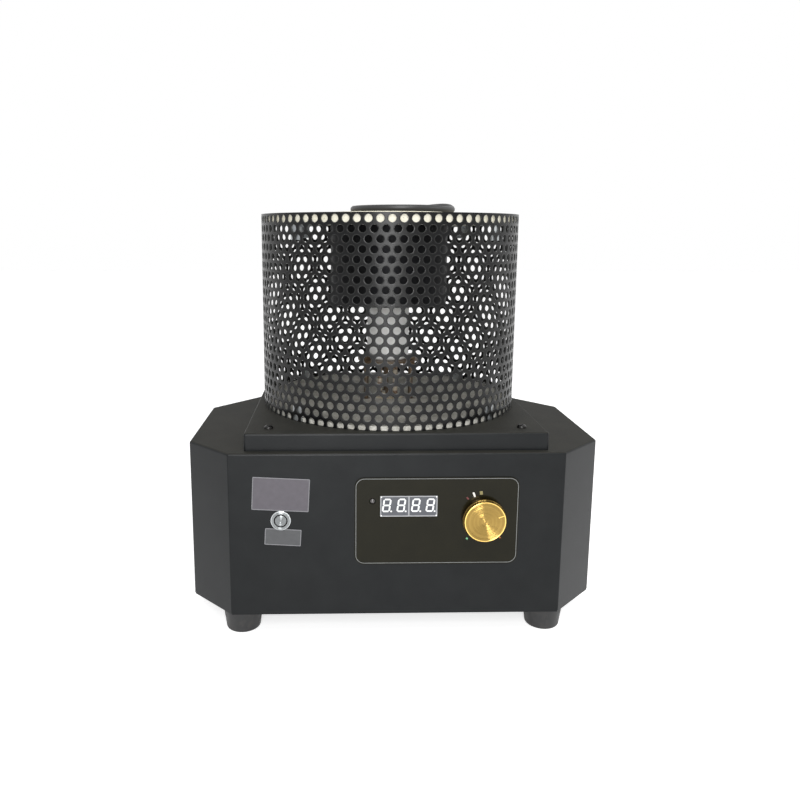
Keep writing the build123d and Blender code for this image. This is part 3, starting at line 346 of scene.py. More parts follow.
softbox("high_softbox", (0.05, -0.75, 1.55), (0.0, 0.0, 0.2), 0.8, 0.55, 11.0)
softbox("front_strip", (-0.11, -1.55, 0.70), (0.0, 0.0, 0.25), 0.42, 1.25, 20.0)
softbox("side_softbox", (1.35, -0.25, 0.95), (0.0, 0.0, 0.2), 0.7, 0.9, 4.5)
print("softboxes:", [light.name for light in bpy.data.lights])

# %% The floor
floor_half = 6.0
floor_lift = 0.66
floor_steps = 2
line = np.linspace(-floor_half, floor_half, floor_steps + 1)
floor_x, floor_y = np.meshgrid(line, line)
floor_points = np.stack([floor_x.ravel(), floor_y.ravel(), np.full(floor_x.size, -0.0002)], axis=1)
corner = (np.arange(floor_steps)[:, None] * (floor_steps + 1) + np.arange(floor_steps)).ravel()
floor_faces = np.stack([corner, corner + 1, corner + floor_steps + 2, corner + floor_steps + 1], axis=1)
floor_mesh = bpy.data.meshes.new("floor")
floor_mesh.from_pydata(floor_points.tolist(), [], floor_faces.tolist())
floor = bpy.data.objects.new("floor", floor_mesh)
bpy.context.scene.collection.objects.link(floor)
floor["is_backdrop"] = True

floor_finish = Finish("floor_white", (0.9, 0.9, 0.9, 1.0), roughness=0.55, specular_ior_level=0.2)
rays = floor_finish.node("ShaderNodeLightPath", output="Is Camera Ray")
seen_rays = rays.maths("MAXIMUM", rays.maths("MAXIMUM", rays, rays.other("Is Glossy Ray")),
                       rays.other("Is Transmission Ray"))
lift = floor_finish.node("ShaderNodeEmission", values={"Strength": seen_rays * floor_lift})
both = floor_finish.node("ShaderNodeAddShader", values={0: floor_finish.shader_signal(), 1: lift})
floor_finish.shine(both)
floor_mesh.materials.append(floor_finish.material)
print("floor:", 2 * floor_half, "m across")

# %% [markdown]
# ## Putting a surface into Blender
#
# Every new piece below is a set of points worked out with numpy and a list of faces. `make_piece` puts
# them into a mesh, merges points that fall on each other, marks edges sharper than a given angle so that
# round parts shade smoothly, and says which moving body the piece rides on.

# %% One helper for all new pieces
def make_piece(name, points, faces, finish, body="housing", slot=None, sharp=30.0, weld=2e-6, pattern=None):
    """A mesh object from points (n, 3) in metres and faces, given as index tuples.

    `pattern` (n, 2) is each point's place in a flat pattern, in millimetres, and is kept as a UV map.
    """
    mesh = bpy.data.meshes.new(name)
    mesh.from_pydata(np.asarray(points).tolist(), [], [list(map(int, face)) for face in faces])
    if pattern is not None:
        corners = np.zeros(len(mesh.loops), dtype=np.int32)
        mesh.loops.foreach_get("vertex_index", corners)
        mesh.uv_layers.new(name="pattern").data.foreach_set("uv", np.asarray(pattern)[corners].ravel())
    if weld:
        net = bmesh.new()
        net.from_mesh(mesh)
        bmesh.ops.remove_doubles(net, verts=net.verts, dist=weld)
        bmesh.ops.dissolve_degenerate(net, dist=1e-7, edges=net.edges)
        net.to_mesh(mesh)
        net.free()
    mesh.polygons.foreach_set("use_smooth", np.ones(len(mesh.polygons), dtype=bool))
    mesh.set_sharp_from_angle(angle=radians(sharp))
    mesh.materials.append(finish.material)
    piece = bpy.data.objects.new(name, mesh)
    bpy.context.scene.collection.objects.link(piece)
    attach(piece, body)
    return piece


def grid_faces(rows, columns, close_rows=False, close_columns=False):
    """Quads that join a grid of points, numbered row by row.

    A closed direction joins its last to its first.
    """
    i = np.arange(rows if close_rows else rows - 1)[:, None]
    j = np.arange(columns if close_columns else columns - 1)[None, :]
    below, beside = (i + 1) % rows, (j + 1) % columns
    quads = [i * columns + j, i * columns + beside, below * columns + beside, below * columns + j]
    return np.stack([np.broadcast_to(quad, (i.size, j.size)).ravel() for quad in quads], axis=1)


def triangles(piece):
    """How many triangles a piece's faces make."""
    return sum(len(face.vertices) - 2 for face in piece.data.polygons)


print("a 3 by 4 grid has", len(grid_faces(3, 4)), "faces")

# %% [markdown]
# ## The mains lead
#
# The lead is a round rubber cable of 6.4 mm. It leaves its gland at the back, rises behind the guard, goes
# over the rim, lies in one and a half loose turns round the chamber's mouth, goes back over the rim and
# ends in its plug on the bench. A smooth line through a few chosen places is what rubber does by itself,
# so the line is a NURBS spline, whose control points pull the curve without making it pass through them.
# Order 3 keeps the pull local, and the end points are held.

# %% The lead's route behind the guard and over its rim
lead_diameter = 6.4 * mm

rising_route = [
    (34.0, 178.1, 60.0),
    (34.0, 210.1, 60.0),
    (33.0, 234.0, 86.0),
    (31.0, 238.0, 130.0),
    (29.0, 232.0, 186.0),
    (32.0, 219.0, 242.0),
    (44.0, 206.0, 296.0),
    (62.0, 186.0, 344.0),
    (68.0, 159.0, 373.5),
    (70.0, 122.0, 387.5),
    (68.0, 82.0, 387.2),
    (63.0, 49.0, 384.6),
    (60.0, 20.0, 382.2),
]
falling_route = [
    (-34.0, 20.5, 384.8),
    (-34.5, 48.0, 385.6),
    (-32.0, 76.0, 387.0),
    (-29.5, 106.0, 387.4),
    (-27.0, 142.0, 387.4),
    (-24.5, 170.0, 371.5),
    (-20.0, 191.0, 338.0),
    (-14.0, 206.0, 292.0),
    (-3.0, 213.0, 240.0),
    (2.0, 213.0, 186.0),
    (0.0, 209.0, 132.0),
    (-5.0, 205.0, 84.0),
    (-14.0, 200.0, 46.0),
    (-38.0, 193.0, 17.0),
    (-76.0, 186.0, 9.0),
    (-114.0, 180.0, 9.0),
]
print("route:", len(rising_route), "points up,", len(falling_route), "points down")

# %% [markdown]
# ### The loose turns
#
# Seen from above the lead runs clockwise, so the angle falls as it goes. The first turn is the inner one.
# On its way into the second turn the lead climbs over itself, comes down outside the first turn, and lies
# on the ring again. A short list says how far out and how high the lead is after so many degrees, and the
# points between are read off it. The curve runs a little inside its control points, by the cosine of
# half a step, so the radius is divided by that.

# %% The turns round the mouth, worked out by a loop
turn_centre_x = 12.0
turn_centre_y = 8.0
turn_start = 14.0           # degrees, where the rising lead joins the turns
turn_end = 569.0            # degrees turned when it leaves them
turn_step = 24.0
turned = [0, 22, 44, 104, 194, 284, 324, 344, 354, 366, 382, 399, 409, 419, 434, 464, 569]
turn_radius = [
    49.5, 46.0, 43.6, 41.2, 41.0, 41.0, 43.0, 47.2, 50.2, 52.4, 52.4, 51.0, 50.0, 49.0, 48.0,
    47.6, 47.6,
]
turn_height = [
    382.2, 383.6, 384.8, 384.8, 384.8, 384.8, 386.4, 389.2, 389.4, 387.6, 384.0, 383.2, 384.3, 384.9, 384.9,
    384.9, 384.9,
]

turn_points = []
degrees_turned = turn_step
while degrees_turned < turn_end - turn_step / 2:
    reach = np.interp(degrees_turned, turned, turn_radius) / cos(radians(turn_step / 2))
    height = np.interp(degrees_turned, turned, turn_height)
    heading = radians(turn_start - degrees_turned)
    turn_points.append((turn_centre_x + reach * cos(heading), turn_centre_y + reach * sin(heading), height))
    degrees_turned += turn_step
print(len(turn_points), "points in", round(turn_end / 360, 2), "turns")


# %% One spline for the whole lead
def smooth_line(name, places, radius, finish, body="housing"):
    """A round cable along a NURBS spline whose control points are `places`, in millimetres."""
    curve = bpy.data.curves.new(name, "CURVE")
    curve.dimensions = "3D"
    curve.resolution_u = 8
    curve.bevel_depth = 1.0
    curve.bevel_resolution = 5
    curve.use_fill_caps = True
    spline = curve.splines.new("NURBS")
    spline.points.add(len(places) - 1)
    held = np.column_stack([np.array(places) * mm, np.ones(len(places))])
    spline.points.foreach_set("co", held.ravel())
    spline.points.foreach_set("radius", np.full(len(places), radius))
    spline.order_u = 3
    spline.use_endpoint_u = True
    spline.use_smooth = True
    curve.materials.append(finish.material)
    piece = bpy.data.objects.new(name, curve)
    bpy.context.scene.collection.objects.link(piece)
    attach(piece, body)
    return piece


def line_length(piece):
    """The length of a curve's own line, measured with its thickness off."""
    depth = piece.data.bevel_depth
    piece.data.bevel_depth = 0.0
    bpy.context.view_layer.update()
    thin = bpy.data.meshes.new_from_object(piece.evaluated_get(bpy.context.evaluated_depsgraph_get()))
    points = np.zeros(len(thin.vertices) * 3)
    thin.vertices.foreach_get("co", points)
    piece.data.bevel_depth = depth
    bpy.data.meshes.remove(thin)
    return np.linalg.norm(np.diff(points.reshape(-1, 3), axis=0), axis=1).sum()


lead_rubber = Finish("lead_rubber", tone(30, 30, 31), roughness=0.42, specular_ior_level=0.5)
scuff = lead_rubber.noise(0.9 * mm, detail=3)
lead_rubber.feed("Roughness", 0.34 + 0.2 * lead_rubber.noise(14 * mm, detail=3))
lead_rubber.feed("Base Color", lead_rubber.blend(
    lead_rubber.noise(22 * mm, detail=4), tone(24, 24, 25), tone(44, 44, 44)))
lead_rubber.bumps(scuff, 0.04 * mm)

mains_lead = smooth_line(
    "mains_lead", rising_route + turn_points + falling_route, lead_diameter / 2, lead_rubber)
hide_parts("mains_cord", "cord_coil", "cord_tail")
lead_length = float(line_length(mains_lead))
print(f"lead: {lead_length:.2f} m of {lead_diameter / mm:.1f} mm cable")

# %% [markdown]
# ## The guard's punched sheet
#
# The guard is a strip of 1 mm steel, punched with round holes on a staggered pattern, rolled into a
# cylinder and painted black. Cutting 1,760 holes with a Boolean would be slow and leave a poor mesh. It is
# quicker to build the sheet from one small cell: a brick with a round hole in it, whose outline has sixteen
# points, so that a brick of the next row, half a step to the side, shares the same points. The flat sheet
# is then rolled by a formula: a distance u along the sheet is the angle u / R round the axis.

# %% Sizes of the punched pattern
sheet = 1.0 * mm
hole_radius = 3.5 * mm
columns = 80
rows = 22
first_hole_turn = -0.046      # radians from the front, seen from above, for the rows that aren't staggered
first_row_drop = 5.2 * mm     # from the rim to the middle of the first row
row_pitch = 8.67 * mm
column_turn = 2 * pi / columns
half_width = guard_radius * column_turn / 2
half_height = row_pitch / 2
sides = 16
print(f"holes: {columns * rows}, {2 * half_width / mm:.2f} mm apart round the guard,"
      f" {row_pitch / mm:.2f} mm up it")


# %% Rolling flat points into the guard
def rolled(along, up, radius):
    """Rolls flat points: `along` the sheet becomes the angle along / R, and `up` stays the height."""
    turn = along / guard_radius
    return np.stack([radius * np.sin(turn), -radius * np.cos(turn), up], axis=-1)


def punched_rows(count, skip_last):
    """Hole centres of `count` whole rows, (count, columns, 2), each second row half a step further round."""
    row = np.arange(count)[:, None]
    column = np.arange(columns)[None, :]
    along = (first_hole_turn + (column + 0.5 * (row % 2)) * column_turn) * guard_radius
    up = guard_high.z - first_row_drop - row * row_pitch + 0.0 * column
    centres = np.stack([along, up], axis=-1)
    return centres[:-1] if skip_last else centres


# %% The whole bricks
# a brick's outline, anticlockwise from the middle of its right side, in half widths and half heights
outline = np.array([
    (1, 0), (1, 0.5), (1, 1), (0.5, 1), (0, 1), (-0.5, 1), (-1, 1), (-1, 0.5),
    (-1, 0), (-1, -0.5), (-1, -1), (-0.5, -1), (0, -1), (0.5, -1), (1, -1), (1, -0.5),
]) * (half_width, half_height)
around = np.arange(sides) * 2 * pi / sides
hole = hole_radius * np.stack([np.cos(around), np.sin(around)], axis=-1)

centres = punched_rows(rows, skip_last=True).reshape(-1, 1, 2)
flat = np.concatenate([centres + outline, centres + hole], axis=1)
outer = rolled(flat[..., 0], flat[..., 1], guard_radius)
inner = rolled(flat[..., 0], flat[..., 1], guard_radius - sheet)
brick_points = np.concatenate([outer, inner], axis=1)

k = np.arange(sides)
following = (k + 1) % sides
face_out = np.stack([k, following, following + sides, k + sides], axis=1)
face_in = face_out[:, ::-1] + 2 * sides
hole_wall = np.stack([k + sides, following + sides, following + 3 * sides, k + 3 * sides], axis=1)
brick_faces = np.concatenate([face_out, face_in, hole_wall])
first_point = np.arange(len(centres))[:, None, None] * 4 * sides
sheet_points = brick_points.reshape(-1, 3)
brick_pattern = np.concatenate([outline, hole, outline, hole]) / mm
sheet_pattern = np.tile(brick_pattern, (len(centres), 1))
sheet_faces = (first_point + brick_faces).reshape(-1, 4)
print("whole bricks:", len(centres), "with", len(sheet_faces), "quads")

# %% [markdown]
# ### The cut edges
#
# The strip was cut to height after it was punched, and its lower edge runs through the last row. So each
# hole there is an open notch. Its brick is the same idea with an arc in place of a circle: eleven points
# from one foot of the notch over its top to the other foot, joined to eleven points on the brick's outline.
# The rim at the top is a plain narrow band.

# %% The notches along the lower edge
last_row = punched_rows(rows, skip_last=False)[-1][:, None, :]
foot = guard_low.z - last_row[0, 0, 1]
foot_turn = np.arcsin(foot / hole_radius)
arc_turn = np.linspace(foot_turn, pi - foot_turn, 11)
notch = hole_radius * np.stack([np.cos(arc_turn), np.sin(arc_turn)], axis=-1)
side_heights = np.linspace(foot, half_height, 4)
notch_outline = np.concatenate([
    [(half_width, height) for height in side_heights],
    [(share * half_width, half_height) for share in (0.5, 0.0, -0.5)],
    [(-half_width, height) for height in side_heights[::-1]],
])
flat = np.concatenate([last_row + notch_outline, last_row + notch], axis=1)
outer = rolled(flat[..., 0], flat[..., 1], guard_radius)
inner = rolled(flat[..., 0], flat[..., 1], guard_radius - sheet)
notch_points = np.concatenate([outer, inner], axis=1).reshape(-1, 3)
arc = len(notch)
k = np.arange(arc - 1)
notch_out = np.stack([k, k + 1, k + 1 + arc, k + arc], axis=1)
notch_in = notch_out[:, ::-1] + 2 * arc
notch_wall = np.stack([k + arc, k + 1 + arc, k + 1 + 3 * arc, k + 3 * arc], axis=1)
feet = np.array([[0, arc, 3 * arc, 2 * arc], [2 * arc - 1, arc - 1, 3 * arc - 1, 4 * arc - 1]])
notch_faces = np.concatenate([notch_out, notch_in, notch_wall, feet])
first_point = np.arange(columns)[:, None, None] * 4 * arc + len(sheet_points)
sheet_faces = np.concatenate([sheet_faces, (first_point + notch_faces).reshape(-1, 4)])
sheet_points = np.concatenate([sheet_points, notch_points])
notch_pattern = np.concatenate([notch_outline, notch, notch_outline, notch]) / mm
sheet_pattern = np.concatenate([sheet_pattern, np.tile(notch_pattern, (columns, 1))])
print("notches:", columns, "whose feet stand", round(foot / mm, 2), "mm below the middle of their holes")

# %% The rim's plain band
band_low = guard_high.z - first_row_drop + half_height
band_steps = 4 * columns
band_turn = first_hole_turn - column_turn / 2 + np.arange(band_steps) * 2 * pi / band_steps
levels = [(band_low, guard_radius), (guard_high.z, guard_radius),
          (guard_high.z, guard_radius - sheet), (band_low, guard_radius - sheet)]
band = np.stack([rolled(band_turn * guard_radius, 0 * band_turn + up, reach) for up, reach in levels])
band_faces = grid_faces(len(levels), band_steps, close_columns=True) + len(sheet_points)
sheet_faces = np.concatenate([sheet_faces, band_faces])
sheet_points = np.concatenate([sheet_points, band.reshape(-1, 3)])
sheet_pattern = np.concatenate([sheet_pattern, np.zeros((band.size // 3, 2))])
print("rim band:", round((guard_high.z - band_low) / mm, 2), "mm wide")

# %% [markdown]
# ### Its enamel
#
# The sheet is sprayed black. On such a curve the paint is smooth enough to mirror a softbox as a soft
# upright line, and its faint orange peel breaks that line's edges. A punch rounds the sheet over at each
# hole, and that rounded lip is given a paler colour: a painted sheen, standing for the light it would
# catch. Every corner of a face knows its place round its own hole from the UV map, so the distance from
# the hole's middle is one square root, and the lip is where that distance lies just beyond the hole's
# radius.

# %% Paint and assemble the guard
guard_enamel = Finish("guard_enamel", tone(11, 11, 12), roughness=0.3, specular_ior_level=0.22)
across, along = guard_enamel.axes(guard_enamel.node("ShaderNodeUVMap", {"uv_map": "pattern"}))[:2]
from_middle = (across * across + along * along + 1e-9) ** 0.5
hole_edge = hole_radius / mm
# painted sheen: the lip round each hole gets a paler colour below, where light would catch the rounded edge
painted_lip_sheen = guard_enamel.steps(from_middle, 0.9 * hole_edge, 0.97 * hole_edge)
painted_lip_sheen = painted_lip_sheen * (1.0 - guard_enamel.steps(from_middle, hole_edge + 0.15, hole_edge + 0.4))
patches = guard_enamel.steps(guard_enamel.noise(38 * mm, detail=4), 0.45, 0.75)
enamel_colour = guard_enamel.blend(patches, tone(7, 7, 8), tone(14, 14, 13))
guard_enamel.feed("Base Color", guard_enamel.blend(painted_lip_sheen, enamel_colour, tone(54, 55, 54)))
guard_enamel.feed("Roughness", 0.24 + 0.08 * guard_enamel.noise(9 * mm, detail=3) - 0.08 * painted_lip_sheen)
rounding = guard_enamel.steps(from_middle, hole_edge, hole_edge + 0.6)
guard_enamel.bumps(0.1 * guard_enamel.noise(1.6 * mm, detail=2) + 0.5 * rounding, 0.2 * mm)

guard_sheet = make_piece(
    "guard_sheet", sheet_points, sheet_faces, guard_enamel, slot="guard_black", sharp=35.0, weld=4e-6,
    pattern=sheet_pattern)
print("guard:", triangles(guard_sheet), "triangles")

# %% [markdown]
# ### The lap at the rear
#
# Where the strip's two ends meet, one lies inside the other and is spot welded to it. The inner end is a
# plain narrow strip, curved to the same axis, that closes the holes behind it.

# %% The guard's lap
lap_width = 14.0 * mm
lap_margin = 2.0 * mm
lap_low = guard_low.z + 4.0 * mm + lap_margin
lap_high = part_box("top_board")[0].z - lap_margin
lap_steps = 12
lap_turn = pi + np.linspace(-0.5, 0.5, lap_steps + 1) * lap_width / guard_radius
lap_outer = guard_radius - sheet - 0.02 * mm
lap_inner = lap_outer - sheet
lap_levels = [(lap_low, lap_outer), (lap_high, lap_outer), (lap_high, lap_inner), (lap_low, lap_inner)]
lap = np.stack([rolled(lap_turn * guard_radius, 0 * lap_turn + up, reach) for up, reach in lap_levels])
lap_row = lap_steps + 1
lap_faces = [tuple(face) for face in grid_faces(len(lap_levels), lap_row, close_rows=True)[:, ::-1]]
lap_faces.append(tuple(level * lap_row for level in range(4)))
lap_faces.append(tuple(level * lap_row + lap_steps for level in (3, 2, 1, 0)))
make_piece("guard_lap", lap.reshape(-1, 3), lap_faces, guard_enamel, slot="guard_black")
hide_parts("guard")
print("lap:", round(lap_width / mm), "mm wide")

# %% [markdown]
# ## Dressing the solid model's own pieces
#
# The other pieces keep the solid model's shape and only get a finish. `dress` puts one finish on any number
# of nodes. Each finish below is a short function of its own, in three steps: the even values, the colour
# from place to place, and the relief that catches the light.

# %% Put a finish on nodes
dressed = []


def dress(finish, *nodes):
    """Gives each of these nodes of the solid model this finish."""
    for name in nodes:
        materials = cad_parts[name].data.materials
        materials.clear()
        materials.append(finish.material)
        dressed.append(name)


dress(lead_rubber, "mains_cord", "cord_coil", "cord_tail")
dress(guard_enamel, "guard")
print("dressed:", len(dressed))

# %% [markdown]
# ### Powder coat
#
# The housing, its floor and the tray are folded from sheet and powder coated. Powder melts into a skin with
# a fine, even grain, a bit like an orange's. It looks near black where it mirrors something dark and grey
# where it mirrors the sky, so the colour is kept dark and the grain does the work. A grain of about half a
# millimetre comes from two noises of different size. Upward faces, found from the surface's normal, are
# given a paler colour and a higher roughness.

# %% Powder coat
def powder_coat_finish():
    coat = Finish("powder_coat", tone(20, 22, 23), roughness=0.36, specular_ior_level=0.17)
    normal_z = coat.axes(coat.node("ShaderNodeNewGeometry", output="Normal"))[2]
    upward = coat.steps(normal_z, 0.5, 0.95)
    grain = coat.noise(0.55 * mm, detail=3)
    mottle = coat.noise(28 * mm, detail=5)
    dark = coat.blend(mottle, tone(11, 13, 15), tone(27, 29, 30))
    # upward faces get this paler colour and, below, a higher roughness
    upward_pale = coat.blend(mottle, tone(30, 30, 27), tone(49, 48, 43))
    coat.feed("Base Color", coat.blend(upward * (0.75 + 0.25 * grain), dark, upward_pale))
    coat.feed("Roughness", 0.26 + 0.16 * coat.noise(1.3 * mm, detail=2) + 0.34 * upward)
    coat.bumps(0.65 * grain + 0.35 * coat.noise(1.5 * mm), 0.07 * mm)
    return coat


powder_coat = powder_coat_finish()
dress(powder_coat, "base_shell", "base_plate", "top_tray")
print("powder coat on the housing, its floor and the tray")

# %% [markdown]
# ### Zinc: sheet and screws
#
# Hot-dip galvanised sheet shows its zinc crystals as flat patches, each a slightly different grey. A Voronoi
# texture gives every cell one random shade, which is just that. The screws are electroplated, too thin a
# skin for crystals, so they only get a fine mottle.

# %% Galvanised sheet and plated screws
def galvanised_finish():
    zinc = Finish("galvanised", tone(168, 172, 174), metallic=1.0, roughness=0.42)
    crystals = {"Vector": zinc.place, "Scale": 1 / (7 * mm)}
    cells = zinc.node("ShaderNodeTexVoronoi", values=crystals, output="Color")
    shade = zinc.axes(cells)[0]
    zinc.feed("Base Color", zinc.blend(shade, tone(148, 152, 155), tone(190, 193, 194)))
    zinc.feed("Roughness", 0.34 + 0.2 * shade)
    zinc.bumps(zinc.noise(3 * mm, detail=3), 0.02 * mm)
    return zinc


def plated_screw_finish(name, dark, light, roughness):
    plated = Finish(name, dark, metallic=1.0, roughness=roughness)
    plated.feed("Base Color", plated.blend(plated.noise(2.2 * mm, detail=3), dark, light))
    plated.feed("Roughness", roughness - 0.08 + 0.16 * plated.noise(0.7 * mm))
    plated.bumps(plated.noise(0.35 * mm), 0.01 * mm)
    return plated


galvanised = galvanised_finish()
dress(galvanised, "guard_brackets", "board_brackets")
zinc_screw = plated_screw_finish("zinc_screw", tone(170, 172, 172), tone(205, 206, 204), 0.28)
dress(zinc_screw, "base_plate_screws", "foot_screws", "foot_washers", "guard_bracket_screws", "pot_nut",
      "button_nut")
black_screw = plated_screw_finish("black_screw", tone(34, 34, 35), tone(58, 57, 56), 0.34)
dress(black_screw, "knob_grub_screw")
print("zinc on", len(dressed), "nodes so far")

# %% [markdown]
# ### Rubber feet
#
# Moulded rubber is black but never shiny: its skin is a print of the mould, with a bloom of paler wax.

# %% Rubber
def rubber_finish():
    rubber = Finish("rubber", tone(26, 26, 27), roughness=0.6, specular_ior_level=0.45)
    bloom = rubber.steps(rubber.noise(7 * mm, detail=5), 0.42, 0.7)
    rubber.feed("Base Color", rubber.blend(bloom, tone(23, 23, 24), tone(47, 46, 45)))
    rubber.feed("Roughness", 0.46 + 0.24 * bloom)
    rubber.bumps(rubber.noise(0.4 * mm, detail=3), 0.04 * mm)
    return rubber


rubber = rubber_finish()
dress(rubber, "foot_front_left", "foot_front_right", "foot_rear_left", "foot_rear_right")
print("rubber on four feet")

# %% [markdown]
# ### Insulating board, fibre and fired clay
#
# The boards are cream insulating board, cut with a saw: chalky, with short fibres and small pits. The
# packing in the chamber is a whiter, woollier fibre. The muffle and the grommet are fired clay, which is
# smoother and spotted with iron. They differ only in colours, fibre length and depth, so one function makes
# all of them.

# %% Board, fibre and clay
def mineral_finish(name, pale, dark, grain, depth, spots=0.0):
    """A matt mineral surface: cloudy colour, fibres or grains of size `grain`, and a few darker spots."""
    mineral = Finish(name, pale, roughness=0.9, specular_ior_level=0.25)
    cloud = mineral.noise(24 * mm, detail=5)
    fibres = mineral.noise(grain, detail=5, roughness=0.65)
    cells = mineral.node("ShaderNodeTexVoronoi", values={"Vector": mineral.place, "Scale": 1 / (4 * mm)})
    spot = mineral.steps(0.16 - cells, 0.0, 0.06) * spots
    shade = mineral.steps(0.5 * cloud + 0.5 * fibres, 0.32, 0.68)
    mineral.feed("Base Color", mineral.blend(spot, mineral.blend(shade, dark, pale), tone(96, 74, 52)))
    mineral.feed("Roughness", 0.8 + 0.18 * fibres)
    mineral.bumps(fibres, depth)
    return mineral


cream_board = mineral_finish(
    "cream_board", tone(232, 229, 214), tone(206, 201, 182), 1.1 * mm, 0.25 * mm, 0.35)
dress(cream_board, "top_board", "mouth_ring")
sooted_board = mineral_finish(
    "sooted_board", tone(222, 220, 212), tone(150, 148, 140), 1.6 * mm, 0.25 * mm, 0.4)
dress(sooted_board, "floor_board")
white_fibre = mineral_finish("white_fibre", tone(240, 239, 234), tone(214, 211, 202), 1.8 * mm, 0.6 * mm)
dress(white_fibre, "insulation_sleeve", "insulation_base")
fired_clay = mineral_finish("fired_clay", tone(226, 216, 196), tone(198, 182, 156), 0.6 * mm, 0.08 * mm, 0.7)
dress(fired_clay, "muffle", "muffle_floor", "lead_grommet")
print("boards, fibre and clay dressed")

# %% [markdown]
# ### The glazed pedestal
#
# The chamber stands on a glazed ceramic tube. The glaze is glassy and white, and pools a little thicker
# here and there, so the relief is very low and long. A coat gives the sharp reflection on the soft white
# body. Near the hot chamber the glaze has browned.

# %% Glazed ceramic
def glazed_finish():
    glaze = Finish("glazed_ceramic", tone(238, 238, 234), roughness=0.25, coat_weight=0.8,
                   coat_roughness=0.06)
    soot = glaze.steps(glaze.noise(16 * mm, detail=5), 0.5, 0.78)
    height = glaze.axes()[2]
    scorched = glaze.steps(height, 0.272, 0.296) * (0.1 + 0.25 * soot)
    pale = glaze.blend(0.4 * soot, tone(248, 248, 245), tone(224, 222, 214))
    glaze.feed("Base Color", glaze.blend(scorched, pale, tone(158, 140, 116)))
    glaze.feed("Roughness", 0.18 + 0.22 * soot)
    glaze.bumps(glaze.noise(9 * mm, detail=1), 0.12 * mm)
    return glaze


glazed = glazed_finish()
dress(glazed, "pedestal_tube")
print("glaze on the pedestal")

# %% [markdown]
# ### Steel that has been hot
#
# Bare steel near the element goes through straw, brown and blue to a dull dark scale. A colour ramp holds
# those colours in order, and a cloudy value with the height above the chamber's floor decides how far along
# the ramp each place has gone.

# %% Heat-stained steel
def heat_stained_finish(name, hot_low, hot_high):
    """Steel whose scale deepens from the height `hot_low` up to `hot_high`."""
    steel = Finish(name, tone(52, 50, 49), metallic=0.85, roughness=0.42)
    heat = steel.steps(steel.axes()[2], hot_low, hot_high)
    cloudy = steel.noise(20 * mm, detail=5)
    stages = {"stops": [
        (0.0, tone(112, 106, 98)), (0.3, tone(98, 80, 60)), (0.5, tone(42, 38, 42)),
        (0.75, tone(27, 27, 30)), (1.0, tone(20, 20, 21))]}
    colour = steel.node("ShaderNodeValToRGB", stages, {0: 0.7 * heat + 0.6 * cloudy - 0.12})
    steel.feed("Base Color", colour)
    steel.feed("Roughness", 0.3 + 0.3 * steel.noise(6 * mm, detail=4))
    steel.bumps(steel.noise(0.8 * mm, detail=4), 0.03 * mm)
    return steel


can_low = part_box("chamber_can")[0]
chamber_steel = heat_stained_finish("chamber_steel", can_low.z - 0.04, can_low.z + 0.01)
dress(chamber_steel, "chamber_can")
pedestal_steel = heat_stained_finish("pedestal_steel", 0.2, 0.42)
dress(pedestal_steel, "pedestal_ring", "pedestal_studs", "pedestal_nuts", "thermocouple")
print("stained steel, hottest above", round(can_low.z / mm), "mm")

# %% [markdown]
# ### The element, its leads and the crucible
#
# The resistance wire grows a grey oxide skin. Its leads are copper strips in woven sleeves that have gone
# brown, so they get rings of darker and paler weave. The crucible is graphite: black, greasy, faintly shiny,
# with the fine rings that a lathe leaves.

# %% Wire, leads and graphite
def oxide_wire_finish():
    wire = Finish("oxide_wire", tone(88, 84, 80), metallic=0.6, roughness=0.6)
    wire.feed("Base Color", wire.blend(wire.noise(4 * mm, detail=4), tone(66, 62, 60), tone(118, 110, 100)))
    wire.bumps(wire.noise(0.4 * mm, detail=3), 0.03 * mm)
    return wire


def lead_finish():
    lead = Finish("sleeved_lead", tone(150, 112, 84), metallic=0.3, roughness=0.55)
    height = lead.axes()[2]
    weave = lead.node("ShaderNodeTexWave", {"bands_direction": "DIAGONAL"},
                      {"Vector": lead.place, "Scale": 0.16 / mm, "Distortion": 1.5}, output=1)
    ring_spacing = 9 * mm
    wave = lead.node("ShaderNodeMath", {"operation": "SINE"}, {0: height * (2 * pi / ring_spacing)})
    stripes = lead.steps(wave, -0.2, 0.5)
    copper = lead.blend(weave, tone(104, 82, 66), tone(158, 136, 116))
    lead.feed("Base Color", lead.blend(stripes * 0.8, copper, tone(218, 208, 190)))
    lead.feed("Roughness", 0.4 + 0.3 * weave)
    lead.bumps(weave, 0.08 * mm)
    return lead


def graphite_finish():
    graphite = Finish("graphite", tone(38, 38, 40), metallic=0.25, roughness=0.45)
    rings = graphite.noise(0.35 * mm, place=graphite.stretch(0.02, 0.02, 1.0))
    patches = graphite.noise(8 * mm, detail=5)
    graphite.feed("Base Color", graphite.blend(patches, tone(30, 30, 32), tone(62, 61, 62)))
    graphite.feed("Roughness", 0.36 + 0.2 * rings)
    graphite.bumps(rings, 0.03 * mm)
    return graphite


dress(oxide_wire_finish(), "heating_coil")
dress(lead_finish(), "heater_leads")
graphite = graphite_finish()
dress(graphite, "crucible")
print("element, leads and crucible dressed")
